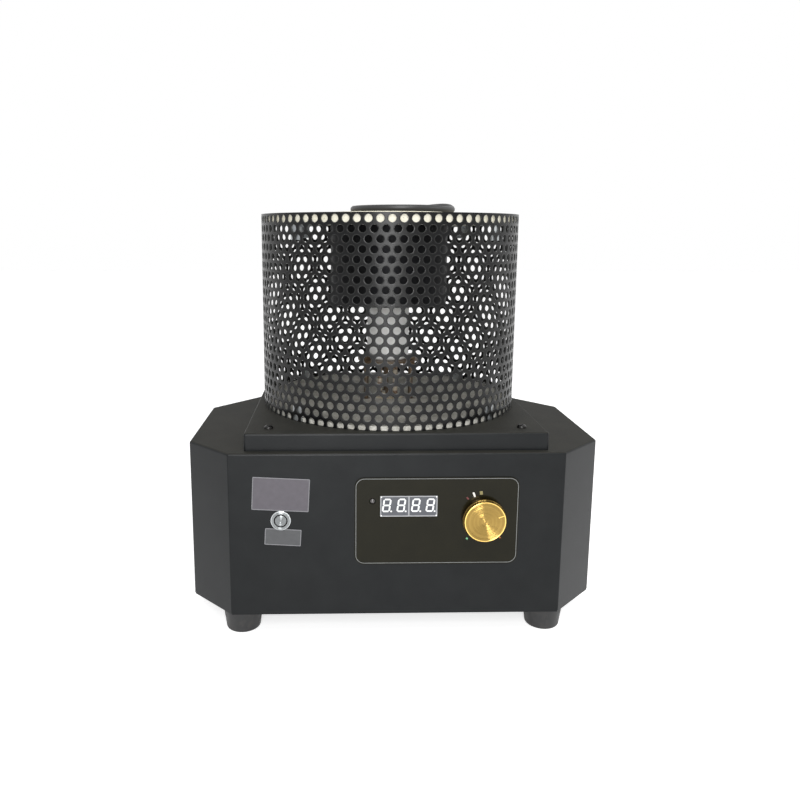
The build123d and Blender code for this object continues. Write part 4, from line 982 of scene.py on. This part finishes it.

# %% [markdown]
# ## The push button and the lamp
#
# The button is turned from stainless steel. A lathe's tool leaves circles round the axis, and light then
# falls on it as two bright wedges that meet in the middle. The circles are far too fine to model. A trick
# does it: the normal is tipped a little outwards or inwards by a noise that depends only on the distance
# from the axis. Each ring mirrors another height of the room, and together they draw the wedges. The cap
# sits in a bezel, and a near-black ring of painted shade stands for the shadow in the gap between the two.
# The edge of each face gets a painted highlight, a thin ring of brighter colour.

# %% Turned metal
def turned_finish(name, axis_x, axis_z, dark, light, ring_size, tilt, roughness, rim, pointer=None,
                  shade_ring=None):
    """Metal turned about an axis that runs front to back through (axis_x, axis_z).

    `rim` is the face's radius, whose edge gets a painted highlight, a thin ring of brighter colour.
    `pointer` is the angle of a cut line in the same bright colour, and `shade_ring` the two radii of a ring
    of painted shade, if there is one.
    """
    turned_metal = Finish(name, light, metallic=1.0, roughness=roughness)
    x, y, z = turned_metal.axes()
    out_x, out_z = x - axis_x, z - axis_z
    reach = (out_x * out_x + out_z * out_z + 1e-9) ** 0.5
    ring_place = turned_metal.node("ShaderNodeCombineXYZ", values={0: reach, 1: 0.02 * y})
    rings = turned_metal.noise(ring_size, detail=2, place=ring_place)
    wide_rings = turned_metal.noise(8 * ring_size, detail=1, place=ring_place)
    lean = (rings - 0.5) * tilt / reach
    sideways = turned_metal.node("ShaderNodeCombineXYZ", values={0: out_x * lean, 2: out_z * lean})
    normal = turned_metal.node("ShaderNodeNewGeometry", output="Normal")
    tipped = turned_metal.node("ShaderNodeVectorMath", {"operation": "ADD"}, {0: normal, 1: sideways})
    level = turned_metal.node("ShaderNodeVectorMath", {"operation": "NORMALIZE"}, {0: tipped})
    turned_metal.feed("Normal", level)
    bright = tuple(min(1.0, 2.2 * share) for share in light[:3]) + (1.0,)
    # painted highlight: a thin ring of brighter colour at the face's edge; the cut line, the knob's own
    # mark, gets the same colour
    rim_highlight_and_cut = turned_metal.steps(reach, rim - 1.0 * mm, rim - 0.6 * mm)
    rim_highlight_and_cut = rim_highlight_and_cut * (1.0 - turned_metal.steps(reach, rim + 0.1 * mm, rim + 0.3 * mm))
    if pointer is not None:
        out = out_x * cos(pointer) + out_z * sin(pointer)
        aside = abs(out_z * cos(pointer) - out_x * sin(pointer))
        cut = (aside < 0.4 * mm) * (out > 0.67 * rim) * (out < 0.95 * rim)
        rim_highlight_and_cut = rim_highlight_and_cut.maths("MAXIMUM", rim_highlight_and_cut, cut)
    colour = turned_metal.blend(0.5 * rings + 0.5 * wide_rings, dark, light)
    colour = turned_metal.blend(rim_highlight_and_cut, colour, bright)
    # painted shade: a near-black ring where the gap between cap and bezel lies in shadow
    if shade_ring is not None:
        in_shade_ring = (reach > shade_ring[0]) * (reach < shade_ring[1])
        colour = turned_metal.blend(in_shade_ring, colour, tone(12, 12, 12))
    turned_metal.feed("Base Color", colour)
    turned_metal.feed("Roughness", roughness - 0.05 + 0.1 * rings)
    return turned_metal


knob_x, knob_z = (knob_low.x + knob_high.x) / 2, (knob_low.z + knob_high.z) / 2
button_x, button_z = (button_low.x + button_high.x) / 2, (button_low.z + button_high.z) / 2
cap_radius = (button_high.x - button_low.x) / 2
bezel_low, bezel_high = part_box("button_bezel")
# the radii of the ring of painted shade round the cap's edge
painted_shade_radii = (cap_radius - 0.8 * mm, cap_radius + 0.15 * mm)
dress(turned_finish(
    "button_metal", button_x, button_z, tone(84, 87, 88), tone(140, 143, 144), 0.12 * mm, 2.6, 0.18,
    rim=cap_radius, shade_ring=painted_shade_radii), "button_cap")
dress(turned_finish(
    "bezel_metal", button_x, button_z, tone(92, 95, 96), tone(148, 151, 152), 0.12 * mm, 3.0, 0.16,
    rim=(bezel_high.x - bezel_low.x) / 2, shade_ring=painted_shade_radii), "button_bezel")
gold_metal = turned_finish(
    "gold_metal", knob_x, knob_z, tone(108, 88, 44), tone(178, 148, 84), 0.16 * mm, 3.6, 0.14,
    rim=18.1 * mm, pointer=radians(18.0))
dress(gold_metal, "knob")
print("turned metal on the knob and the button")

# %% [markdown]
# ### The lamp's lens
#
# The indicator is a small smoky lens over a lamp that is off. Nothing shines behind it, so its plastic looks
# nearly black, and a clear coat keeps one sharp light spot and a pale crescent on its dome.

# %% Lamp lens
def lamp_finish():
    lens = Finish("lamp_lens", tone(40, 37, 36), roughness=0.2, coat_weight=1.0, coat_roughness=0.04)
    lens.feed("Base Color", lens.blend(lens.noise(1.2 * mm, detail=2), tone(32, 29, 29), tone(52, 46, 45)))
    lens.bumps(lens.noise(0.5 * mm), 0.01 * mm)
    return lens


dress(lamp_finish(), "indicator_lamp")
print("lamp dressed")

# %% [markdown]
# ## The control panel
#
# The panel is a sheet of clear plastic, printed black on its back, so it shines like a dark window. The even
# black is slightly warm. Handling leaves haze, which only shows in the reflections: it is a change in
# roughness and not in colour.

# %% Panel film
def panel_finish():
    film = Finish("panel_film", tone(28, 27, 16), roughness=0.16, specular_ior_level=0.08,
                  coat_weight=0.12, coat_roughness=0.05)
    haze = film.noise(16 * mm, detail=5)
    film.feed("Base Color", film.blend(haze, tone(20, 19, 10), tone(29, 27, 16)))
    film.feed("Roughness", 0.12 + 0.14 * haze)
    film.bumps(film.noise(7 * mm, detail=1), 0.012 * mm)
    return film


dress(panel_finish(), "panel_overlay")
panel_width, panel_height = panel_high.x - panel_low.x, panel_high.z - panel_low.z
print("panel:", round(panel_width / mm, 1), "by", round(panel_height / mm, 1), "mm")

# %% [markdown]
# ## Pieces inside the housing
#
# Nobody sees these until the housing is opened, but each still gets the finish that it would have: moulded
# plastic, green circuit board, iron laminations, bare aluminium, brass and spring wire.

# %% Moulded plastic
def plastic_finish(name, dark, light, roughness):
    plastic = Finish(name, dark, roughness=roughness, specular_ior_level=0.5)
    plastic.feed("Base Color", plastic.blend(plastic.noise(12 * mm, detail=4), dark, light))
    plastic.feed("Roughness", roughness - 0.08 + 0.16 * plastic.noise(3 * mm, detail=3))
    plastic.bumps(plastic.noise(0.45 * mm, detail=2), 0.03 * mm)
    return plastic


dark_plastic = plastic_finish("dark_plastic", tone(28, 28, 30), tone(44, 44, 46), 0.5)
dress(dark_plastic, "button_contacts", "fuse_holder", "triac", "terminal_block", "cord_gland", "gland_nut")
plug_plastic = plastic_finish("plug_plastic", tone(26, 26, 27), tone(38, 38, 39), 0.4)
dress(plug_plastic, "plug")
print("plastic dressed")


# %% Circuit board, iron, aluminium, brass and spring wire
def circuit_board_finish():
    board = Finish("circuit_board", tone(28, 84, 52), roughness=0.4, coat_weight=0.5, coat_roughness=0.2)
    tracks = board.node("ShaderNodeTexBrick", {"offset": 0.3}, {
        "Vector": board.place, "Scale": 1 / (9 * mm), "Color1": tone(22, 72, 44), "Color2": tone(30, 92, 56),
        "Mortar": tone(64, 130, 84), "Mortar Size": 0.05})
    board.feed("Base Color", tracks)
    board.feed("Roughness", 0.3 + 0.2 * board.noise(2 * mm, detail=3))
    board.bumps(board.noise(1.2 * mm), 0.03 * mm)
    return board


def laminated_finish():
    iron = Finish("laminated_iron", tone(70, 66, 62), metallic=0.7, roughness=0.5)
    sheets = iron.noise(0.5 * mm, place=iron.stretch(0.03, 1.0, 0.03))
    iron.feed("Base Color", iron.blend(sheets, tone(48, 46, 45), tone(112, 102, 90)))
    iron.bumps(sheets, 0.08 * mm)
    return iron


def grained_metal_finish(name, dark, light, roughness, grain):
    metal = Finish(name, light, metallic=1.0, roughness=roughness)
    drawn = metal.noise(grain, detail=3, place=metal.stretch(1.0, 1.0, 0.05))
    metal.feed("Base Color", metal.blend(drawn, dark, light))
    metal.feed("Roughness", roughness - 0.08 + 0.18 * drawn)
    metal.bumps(drawn, 0.01 * mm)
    return metal


dress(circuit_board_finish(), "control_board", "power_board")
dress(laminated_finish(), "transformer")
dress(grained_metal_finish("bare_aluminium", tone(168, 170, 172), tone(206, 208, 210), 0.34, 0.4 * mm),
      "heatsink", "pot_shaft")
dress(grained_metal_finish("brass", tone(170, 134, 66), tone(214, 180, 106), 0.3, 0.5 * mm),
      "pot_body", "board_spacers", "power_board_spacers")
spring_wire = grained_metal_finish("spring_wire", tone(160, 162, 164), tone(200, 202, 204), 0.26, 0.2 * mm)
dress(spring_wire, "button_spring")
print("inner pieces dressed")

# %% [markdown]
# ### The button's spring
#
# A compression spring is round wire wound into a helix. It is drawn as a ring of points swept along the
# helix. When the button goes in, the real spring gets shorter and keeps its diameter.

# %% A coil spring
spring_low, spring_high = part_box("button_spring")
wire_radius = 0.4 * mm
spring_turns = 4
ring_sides = 8


def coil_spring(low, high, axis_x, axis_z):
    """A helix of points (X + R cos a, y, Z + R sin a), with y in step with a, swept by a small ring."""
    turn = np.linspace(0.0, spring_turns, 28 * spring_turns + 1)[:, None]
    angle = 2 * pi * turn
    middle = low.y + wire_radius + turn / spring_turns * (high.y - low.y - 2 * wire_radius)
    section = np.arange(ring_sides)[None, :] * 2 * pi / ring_sides
    reach = (high.x - low.x) / 2 - wire_radius * (1 - np.cos(section))
    y = middle + wire_radius * np.sin(section)
    return np.stack([axis_x + reach * np.cos(angle), y, axis_z + reach * np.sin(angle)], axis=-1)


swept = coil_spring(spring_low, spring_high, button_x, button_z)
rings = len(swept)
spring_faces = [tuple(face) for face in grid_faces(rings, ring_sides, close_columns=True)]
spring_faces.append(tuple(range(ring_sides))[::-1])
spring_faces.append(tuple(range((rings - 1) * ring_sides, rings * ring_sides)))
round_spring = make_piece(
    "round_spring", swept.reshape(-1, 3), spring_faces, spring_wire, slot="spring_steel", weld=0)
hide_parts("button_spring")
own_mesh(round_spring)

# %% [markdown]
# ## Screws with a cross recess
#
# The tray is held by pan-head screws. The head is a surface of revolution, so its grid runs outwards from
# the axis and round it. Its height is h (1 - (r/R)^n)^(1/n), a rounded box. The cross is pressed into it:
# wherever a place is within half a slot's width of either axis and not too far out, the height sinks by
# the recess's depth, with a short slope on all sides. The shank and its point close the shape below.

# %% Screw surface
head_radius = 4.2 * mm
head_height = 2.6 * mm
shank_radius = 2.0 * mm
shank_length = 22.0 * mm
point_length = 1.5 * mm
point_radius = 0.6 * mm
slot_half_width = 0.55 * mm
slot_reach = 2.3 * mm
slot_depth = 1.3 * mm
slot_slope = 0.35 * mm


def screw_surface(centre_x, centre_y, seat, spin):
    """A pan-head screw: rows of rings outwards over the head, back under it and down the shank."""
    around = np.arange(96) * 2 * pi / 96
    reach = head_radius * np.concatenate([np.linspace(0.015, 0.72, 26), [0.8, 0.88, 0.94, 0.98, 1.0]])
    radius, turn = np.meshgrid(reach, around, indexing="ij")
    out = radius / head_radius
    dome = head_height * np.clip(1 - out ** 4, 0, 1) ** 0.25 * (1 - 0.12 * out ** 2)
    across = np.minimum(abs(radius * np.cos(turn)), abs(radius * np.sin(turn)))
    in_slot = np.clip((slot_half_width + slot_slope - across) / slot_slope, 0, 1)
    in_slot = in_slot * np.clip((slot_reach - radius) / slot_slope, 0, 1)
    height = dome - slot_depth * in_slot
    below = ((shank_radius, 0.0), (shank_radius, shank_length - point_length), (point_radius, shank_length))
    for ring, drop in below:
        radius = np.vstack([radius, np.full_like(around, ring)])
        turn = np.vstack([turn, around])
        height = np.vstack([height, np.full_like(around, -drop)])
    x = centre_x + radius * np.cos(turn + spin)
    y = centre_y + radius * np.sin(turn + spin)
    return np.stack([x, y, seat + height], axis=-1)


# the places are those of the solid model's screws: two nearer the front, two nearer the rear
screw_low, screw_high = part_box("tray_screws")
front_x, front_y = screw_high.x - head_radius, screw_low.y + head_radius
rear_x, rear_y = 106.0 * mm, screw_high.y - head_radius
screw_places = [
    (-front_x, front_y, 0.5), (front_x, front_y, 1.1), (-rear_x, rear_y, 0.2), (rear_x, rear_y, 0.8)]
screw_points, screw_faces = [], []
for x, y, spin in screw_places:
    surface = screw_surface(x, y, tray_high.z, spin)
    start = sum(len(points) for points in screw_points)
    rings, spokes = surface.shape[:2]
    screw_points.append(surface.reshape(-1, 3))
    screw_faces += [tuple(face + start) for face in grid_faces(rings, spokes, close_columns=True)]
    end = start + rings * spokes
    screw_faces.append(tuple(range(start, start + spokes)))
    screw_faces.append(tuple(range(end - spokes, end))[::-1])
cross_screws = make_piece(
    "cross_screws", np.concatenate(screw_points), screw_faces, black_screw, slot="black_screw", sharp=38.0)
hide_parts("tray_screws")
print("tray screws:", triangles(cross_screws), "triangles")

# %% [markdown]
# ## Thin flat things: plates, frames and prints
#
# The front carries two bare plates, and the panel has a printed edge line, a display and marks round the
# dial. All are thin: a closed outline in the plane of the front, given a small thickness. A rounded
# rectangle's outline is four quarter circles joined by straight sides. `front_plate` fills an outline, and
# `front_frame` makes the band between two outlines that have the same number of points.

# %% Outlines and thin solids on the front
def rounded_outline(width, height, corner, steps=7):
    """Points (n, 2), anticlockwise: centre of each corner's circle plus corner * (cos t, sin t)."""
    turn = np.concatenate([np.linspace(quarter, quarter + 1, steps) * pi / 2 for quarter in range(4)])
    side = np.repeat([(1, 1), (-1, 1), (-1, -1), (1, -1)], steps, axis=0)
    centre = side * (width / 2 - corner, height / 2 - corner)
    return centre + corner * np.stack([np.cos(turn), np.sin(turn)], axis=1)


def on_front(outline, centre, tilt, depth):
    """Turns a flat outline by `tilt`, moves it to `centre` (x, z), and sets it at the depth y."""
    x, z = (outline @ np.array([[cos(tilt), sin(tilt)], [-sin(tilt), cos(tilt)]])).T
    return np.stack([centre[0] + x, np.full(len(outline), depth), centre[1] + z], axis=1)


def front_plate(outline, centre, tilt, front, back):
    """A thin closed plate: its two faces and the edge between them."""
    count = len(outline)
    points = np.concatenate([on_front(outline, centre, tilt, front), on_front(outline, centre, tilt, back)])
    k = np.arange(count)
    following = (k + 1) % count
    faces = [tuple(k), tuple(k[::-1] + count)]
    faces += [tuple(face) for face in np.stack([k + count, following + count, following, k], axis=1)]
    return points, faces


def front_frame(outer, inner, centre, tilt, front, back):
    """A thin closed band between two outlines: front, inner edge, back and outer edge."""
    loops = [on_front(outline, centre, tilt, depth)
             for outline, depth in ((outer, front), (inner, front), (inner, back), (outer, back))]
    faces = grid_faces(4, len(outer), close_rows=True, close_columns=True)[:, ::-1]
    return np.concatenate(loops), [tuple(face) for face in faces]


def joined(*shapes):
    """Several (points, faces) pairs as one."""
    points, faces, start = [], [], 0
    for shape_points, shape_faces in shapes:
        points.append(shape_points)
        faces += [tuple(index + start for index in face) for face in shape_faces]
        start += len(shape_points)
    return np.concatenate(points), faces


print("a rounded outline has", len(rounded_outline(1.0, 0.5, 0.1)), "points")

# %% [markdown]
# ### The two bare plates
#
# Beside the button the housing carries two small glued plates. They are left bare here, with their printed
# edge line. They were put on by hand, so both lean by a few degrees.

# %% Bare plates
def print_finish(name, dark, light, roughness):
    """Screen-printed film: an even ink with slight cloudiness under a dull skin."""
    ink = Finish(name, dark, roughness=roughness, specular_ior_level=0.5)
    ink.feed("Base Color", ink.blend(ink.noise(5 * mm, detail=5), dark, light))
    ink.feed("Roughness", roughness - 0.06 + 0.12 * ink.noise(1.5 * mm, detail=2))
    ink.bumps(ink.noise(0.5 * mm), 0.01 * mm)
    return ink


plate_grey = print_finish("plate_grey", tone(66, 62, 68), tone(80, 76, 83), 0.42)
plate_low_grey = print_finish("plate_low_grey", tone(56, 57, 59), tone(70, 71, 73), 0.42)
plate_line = print_finish("plate_line", tone(104, 104, 108), tone(124, 124, 127), 0.4)
plate_proud = 0.25 * mm
line_proud = 0.3 * mm
plates = {
    "upper_plate": ((-101.9 * mm, 136.0 * mm), 50.0 * mm, 30.0 * mm, radians(-3.0), plate_grey),
    "lower_plate": ((-100.4 * mm, 96.5 * mm), 32.0 * mm, 15.3 * mm, radians(-3.5), plate_low_grey),
}
for name, (centre, width, height, tilt, ink) in plates.items():
    whole = rounded_outline(width, height, 0.8 * mm)
    inside = rounded_outline(width - 1.4 * mm, height - 1.4 * mm, 0.4 * mm)
    make_piece(name, *front_plate(whole, centre, tilt, shell_front - plate_proud, shell_front), ink,
               slot="panel_gloss", weld=0)
    make_piece(name + "_line", *front_frame(
        whole, inside, centre, tilt, shell_front - line_proud, shell_front - plate_proud), plate_line,
        slot="panel_gloss", weld=0)
print("plates:", list(plates))

# %% [markdown]
# ### The panel's edge line
#
# A fine line is printed just inside the panel's edge. It is the panel's own outline, moved inwards.

# %% Panel edge line
panel_centre = ((panel_low.x + panel_high.x) / 2, (panel_low.z + panel_high.z) / 2)
panel_corner = 8.6 * mm
line_inset = 0.9 * mm
line_width = 0.5 * mm
print_proud = 0.06 * mm
edge_ink = print_finish("edge_ink", tone(104, 106, 106), tone(126, 128, 127), 0.3)


def inset_outline(inset):
    """The panel's outline moved inwards by `inset`, with corners that stay concentric."""
    return rounded_outline(panel_width - 2 * inset, panel_height - 2 * inset, panel_corner - inset, steps=12)


make_piece("panel_line", *front_frame(
    inset_outline(line_inset), inset_outline(line_inset + line_width), panel_centre, 0.0,
    panel_front - print_proud, panel_front), edge_ink, slot="panel_gloss", weld=0)
print("panel line:", round(line_width / mm, 1), "mm wide")

# %% [markdown]
# ### The display
#
# Two modules of two digits stand side by side in the panel's window. Each is a grey face with seven bars
# for a digit, and a dot. Unlit bars are milky plastic. A bar is a stretched hexagon, and the digit's seven
# bars sit on a figure of two squares; all of it leans by a few degrees, which is a shear: the higher a
# point, the further it moves to the right.

# %% Display faces and bars
display_centre = ((display_low.x + display_high.x) / 2, (display_low.z + display_high.z) / 2)
display_width, display_height = display_high.x - display_low.x, display_high.z - display_low.z
digit_pitch = 12.8 * mm
digit_shift = -0.3 * mm
digit_rise = 0.9 * mm
digit_height = 12.4 * mm
digit_width = 7.2 * mm
bar_width = 1.45 * mm
bar_gap = 0.16 * mm
digit_lean = tan(radians(8.0))
display_front = display_low.y


def bar(start, end, width):
    """A stretched hexagon from start to end: pointed ends, and parallel sides between them."""
    start, end = np.array(start), np.array(end)
    along = (end - start) / np.linalg.norm(end - start)
    side = np.array([-along[1], along[0]]) * width / 2
    tip = along * (bar_gap + width / 2)
    return np.array([start + along * bar_gap, start + tip - side, end - tip - side,
                     end - along * bar_gap, end - tip + side, start + tip + side])


def digit_outlines():
    """The seven bars and the dot of one digit round its own centre."""
    x, z = digit_width / 2 - bar_width / 2, digit_height / 2 - bar_width / 2
    ends = [((-x, z), (x, z)), ((-x, 0), (x, 0)), ((-x, -z), (x, -z)),
            ((-x, z), (-x, 0)), ((x, z), (x, 0)), ((-x, 0), (-x, -z)), ((x, 0), (x, -z))]
    outlines = [bar(start, end, bar_width) for start, end in ends]
    turn = np.arange(12) * 2 * pi / 12
    dot = 0.8 * mm * np.stack([np.cos(turn), np.sin(turn)], axis=1)
    outlines.append(dot + (digit_width / 2 + 1.1 * mm, -z - 0.1 * mm))
    return [outline + outline[:, 1:] * (digit_lean, 0) for outline in outlines]


def anticlockwise(outline):
    """The outline in the order that makes its front face look outwards."""
    x, z = outline[:, 0], outline[:, 1]
    area = (x * np.roll(z, -1) - np.roll(x, -1) * z).sum()
    return outline if area > 0 else outline[::-1]


bars = []
for place in (-1.5, -0.5, 0.5, 1.5):
    centre = (display_centre[0] + digit_shift + place * digit_pitch, display_centre[1] + digit_rise)
    for outline in digit_outlines():
        bars.append(front_plate(
            anticlockwise(outline), centre, 0.0, display_front - 0.12 * mm, display_front - 0.05 * mm))
milky = print_finish("milky_bars", tone(226, 228, 228), tone(240, 241, 240), 0.35)
make_piece("display_bars", *joined(*bars), milky, slot="display_grey", weld=0)
print("display bars:", len(bars))

# %% Display frame and faces
display_face = print_finish("display_face", tone(64, 66, 72), tone(78, 80, 86), 0.3)
display_edge = print_finish("display_edge", tone(146, 147, 150), tone(166, 167, 169), 0.3)
dress(display_face, "display_module")
whole = rounded_outline(display_width, display_height, 0.4 * mm)
inside = rounded_outline(display_width - 1.8 * mm, display_height - 1.8 * mm, 0.3 * mm)
divider = rounded_outline(1.2 * mm, display_height - 1.6 * mm, 0.2 * mm)
pins = [
    front_plate(rounded_outline(1.3 * mm, 1.3 * mm, 0.6 * mm), (
        display_centre[0] + side_x * (display_width / 2 - 0.9 * mm),
        display_centre[1] + side_z * (display_height / 2 - 0.9 * mm)), 0.0,
        display_front - 0.16 * mm, display_front - 0.02 * mm)
    for side_x in (-1, 1) for side_z in (-1, 1)
]
make_piece("display_edges", *joined(
    front_frame(whole, inside, display_centre, 0.0, display_front - 0.1 * mm, display_front),
    front_plate(divider, display_centre, 0.0, display_front - 0.08 * mm, display_front)),
    display_edge, slot="display_grey", weld=0)
make_piece("display_pins", *joined(*pins), milky, slot="display_grey", weld=0)
dark_cells = []
for place in (-1.5, -0.5, 0.5, 1.5):
    for level in (-0.25, 0.25):
        cell = rounded_outline(digit_width - 2.2 * bar_width, digit_height / 2 - 1.6 * bar_width, 0.2 * mm)
        rise = level * (digit_height - bar_width)
        cell = cell + (cell[:, 1:] + rise) * (digit_lean, 0)
        centre = (
            display_centre[0] + digit_shift + place * digit_pitch, display_centre[1] + digit_rise + rise)
        dark_cells.append(front_plate(cell, centre, 0.0, display_front - 0.06 * mm, display_front))
cell_ink = print_finish("cell_ink", tone(58, 60, 68), tone(68, 70, 78), 0.35)
make_piece("display_cells", *joined(*dark_cells), cell_ink, slot="display_grey", weld=0)
print("display:", round(display_width / mm, 1), "by", round(display_height / mm, 1), "mm")

# %% [markdown]
# ### Marks round the dial
#
# A few short coloured marks are printed round the knob, in order of heat. Each is a small four-sided patch,
# set by its angle and its distance from the knob's axis.

# %% Dial marks
mark_reach = 23.6 * mm
marks = [
    ("mark_dark_red", 128.0, 1.3 * mm, 2.6 * mm, tone(92, 34, 38), tone(112, 44, 46)),
    ("mark_white", 112.0, 1.6 * mm, 4.4 * mm, tone(214, 210, 204), tone(232, 230, 224)),
    ("mark_olive", 96.5, 2.6 * mm, 3.2 * mm, tone(116, 108, 66), tone(138, 128, 82)),
    ("mark_green", 233.0, 2.0 * mm, 1.6 * mm, tone(96, 158, 116), tone(120, 180, 140)),
    ("mark_orange", -50.0, 1.4 * mm, 1.4 * mm, tone(150, 86, 30), tone(176, 104, 44)),
]
for name, angle, width, length, dark, light in marks:
    turn = radians(angle)
    centre = (knob_x + mark_reach * cos(turn), knob_z + mark_reach * sin(turn))
    patch = rounded_outline(width, length, 0.3 * mm)
    make_piece(name, *front_plate(patch, centre, turn - pi / 2, panel_front - print_proud, panel_front),
               print_finish(name + "_ink", dark, light, 0.4), slot="panel_gloss", weld=0)
print("dial marks:", len(marks))

# %% [markdown]
# ## Check that nothing was forgotten, and finish
#
# Every node of the solid model that is still shown has a finish by now, and any without one are printed.
# The two boxes are compared, and how much the finished model has grown is printed.

# %% Finish
plain = sorted(set(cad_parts) - set(dressed) - {"tray_screws"})
visual_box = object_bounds()
print("nodes without a finish:", plain)
sides_grown = (visual_box[1] - visual_box[0]) - (solid_box[1] - solid_box[0])
print("grown by", [round(side / mm, 2) for side in sides_grown], "mm")
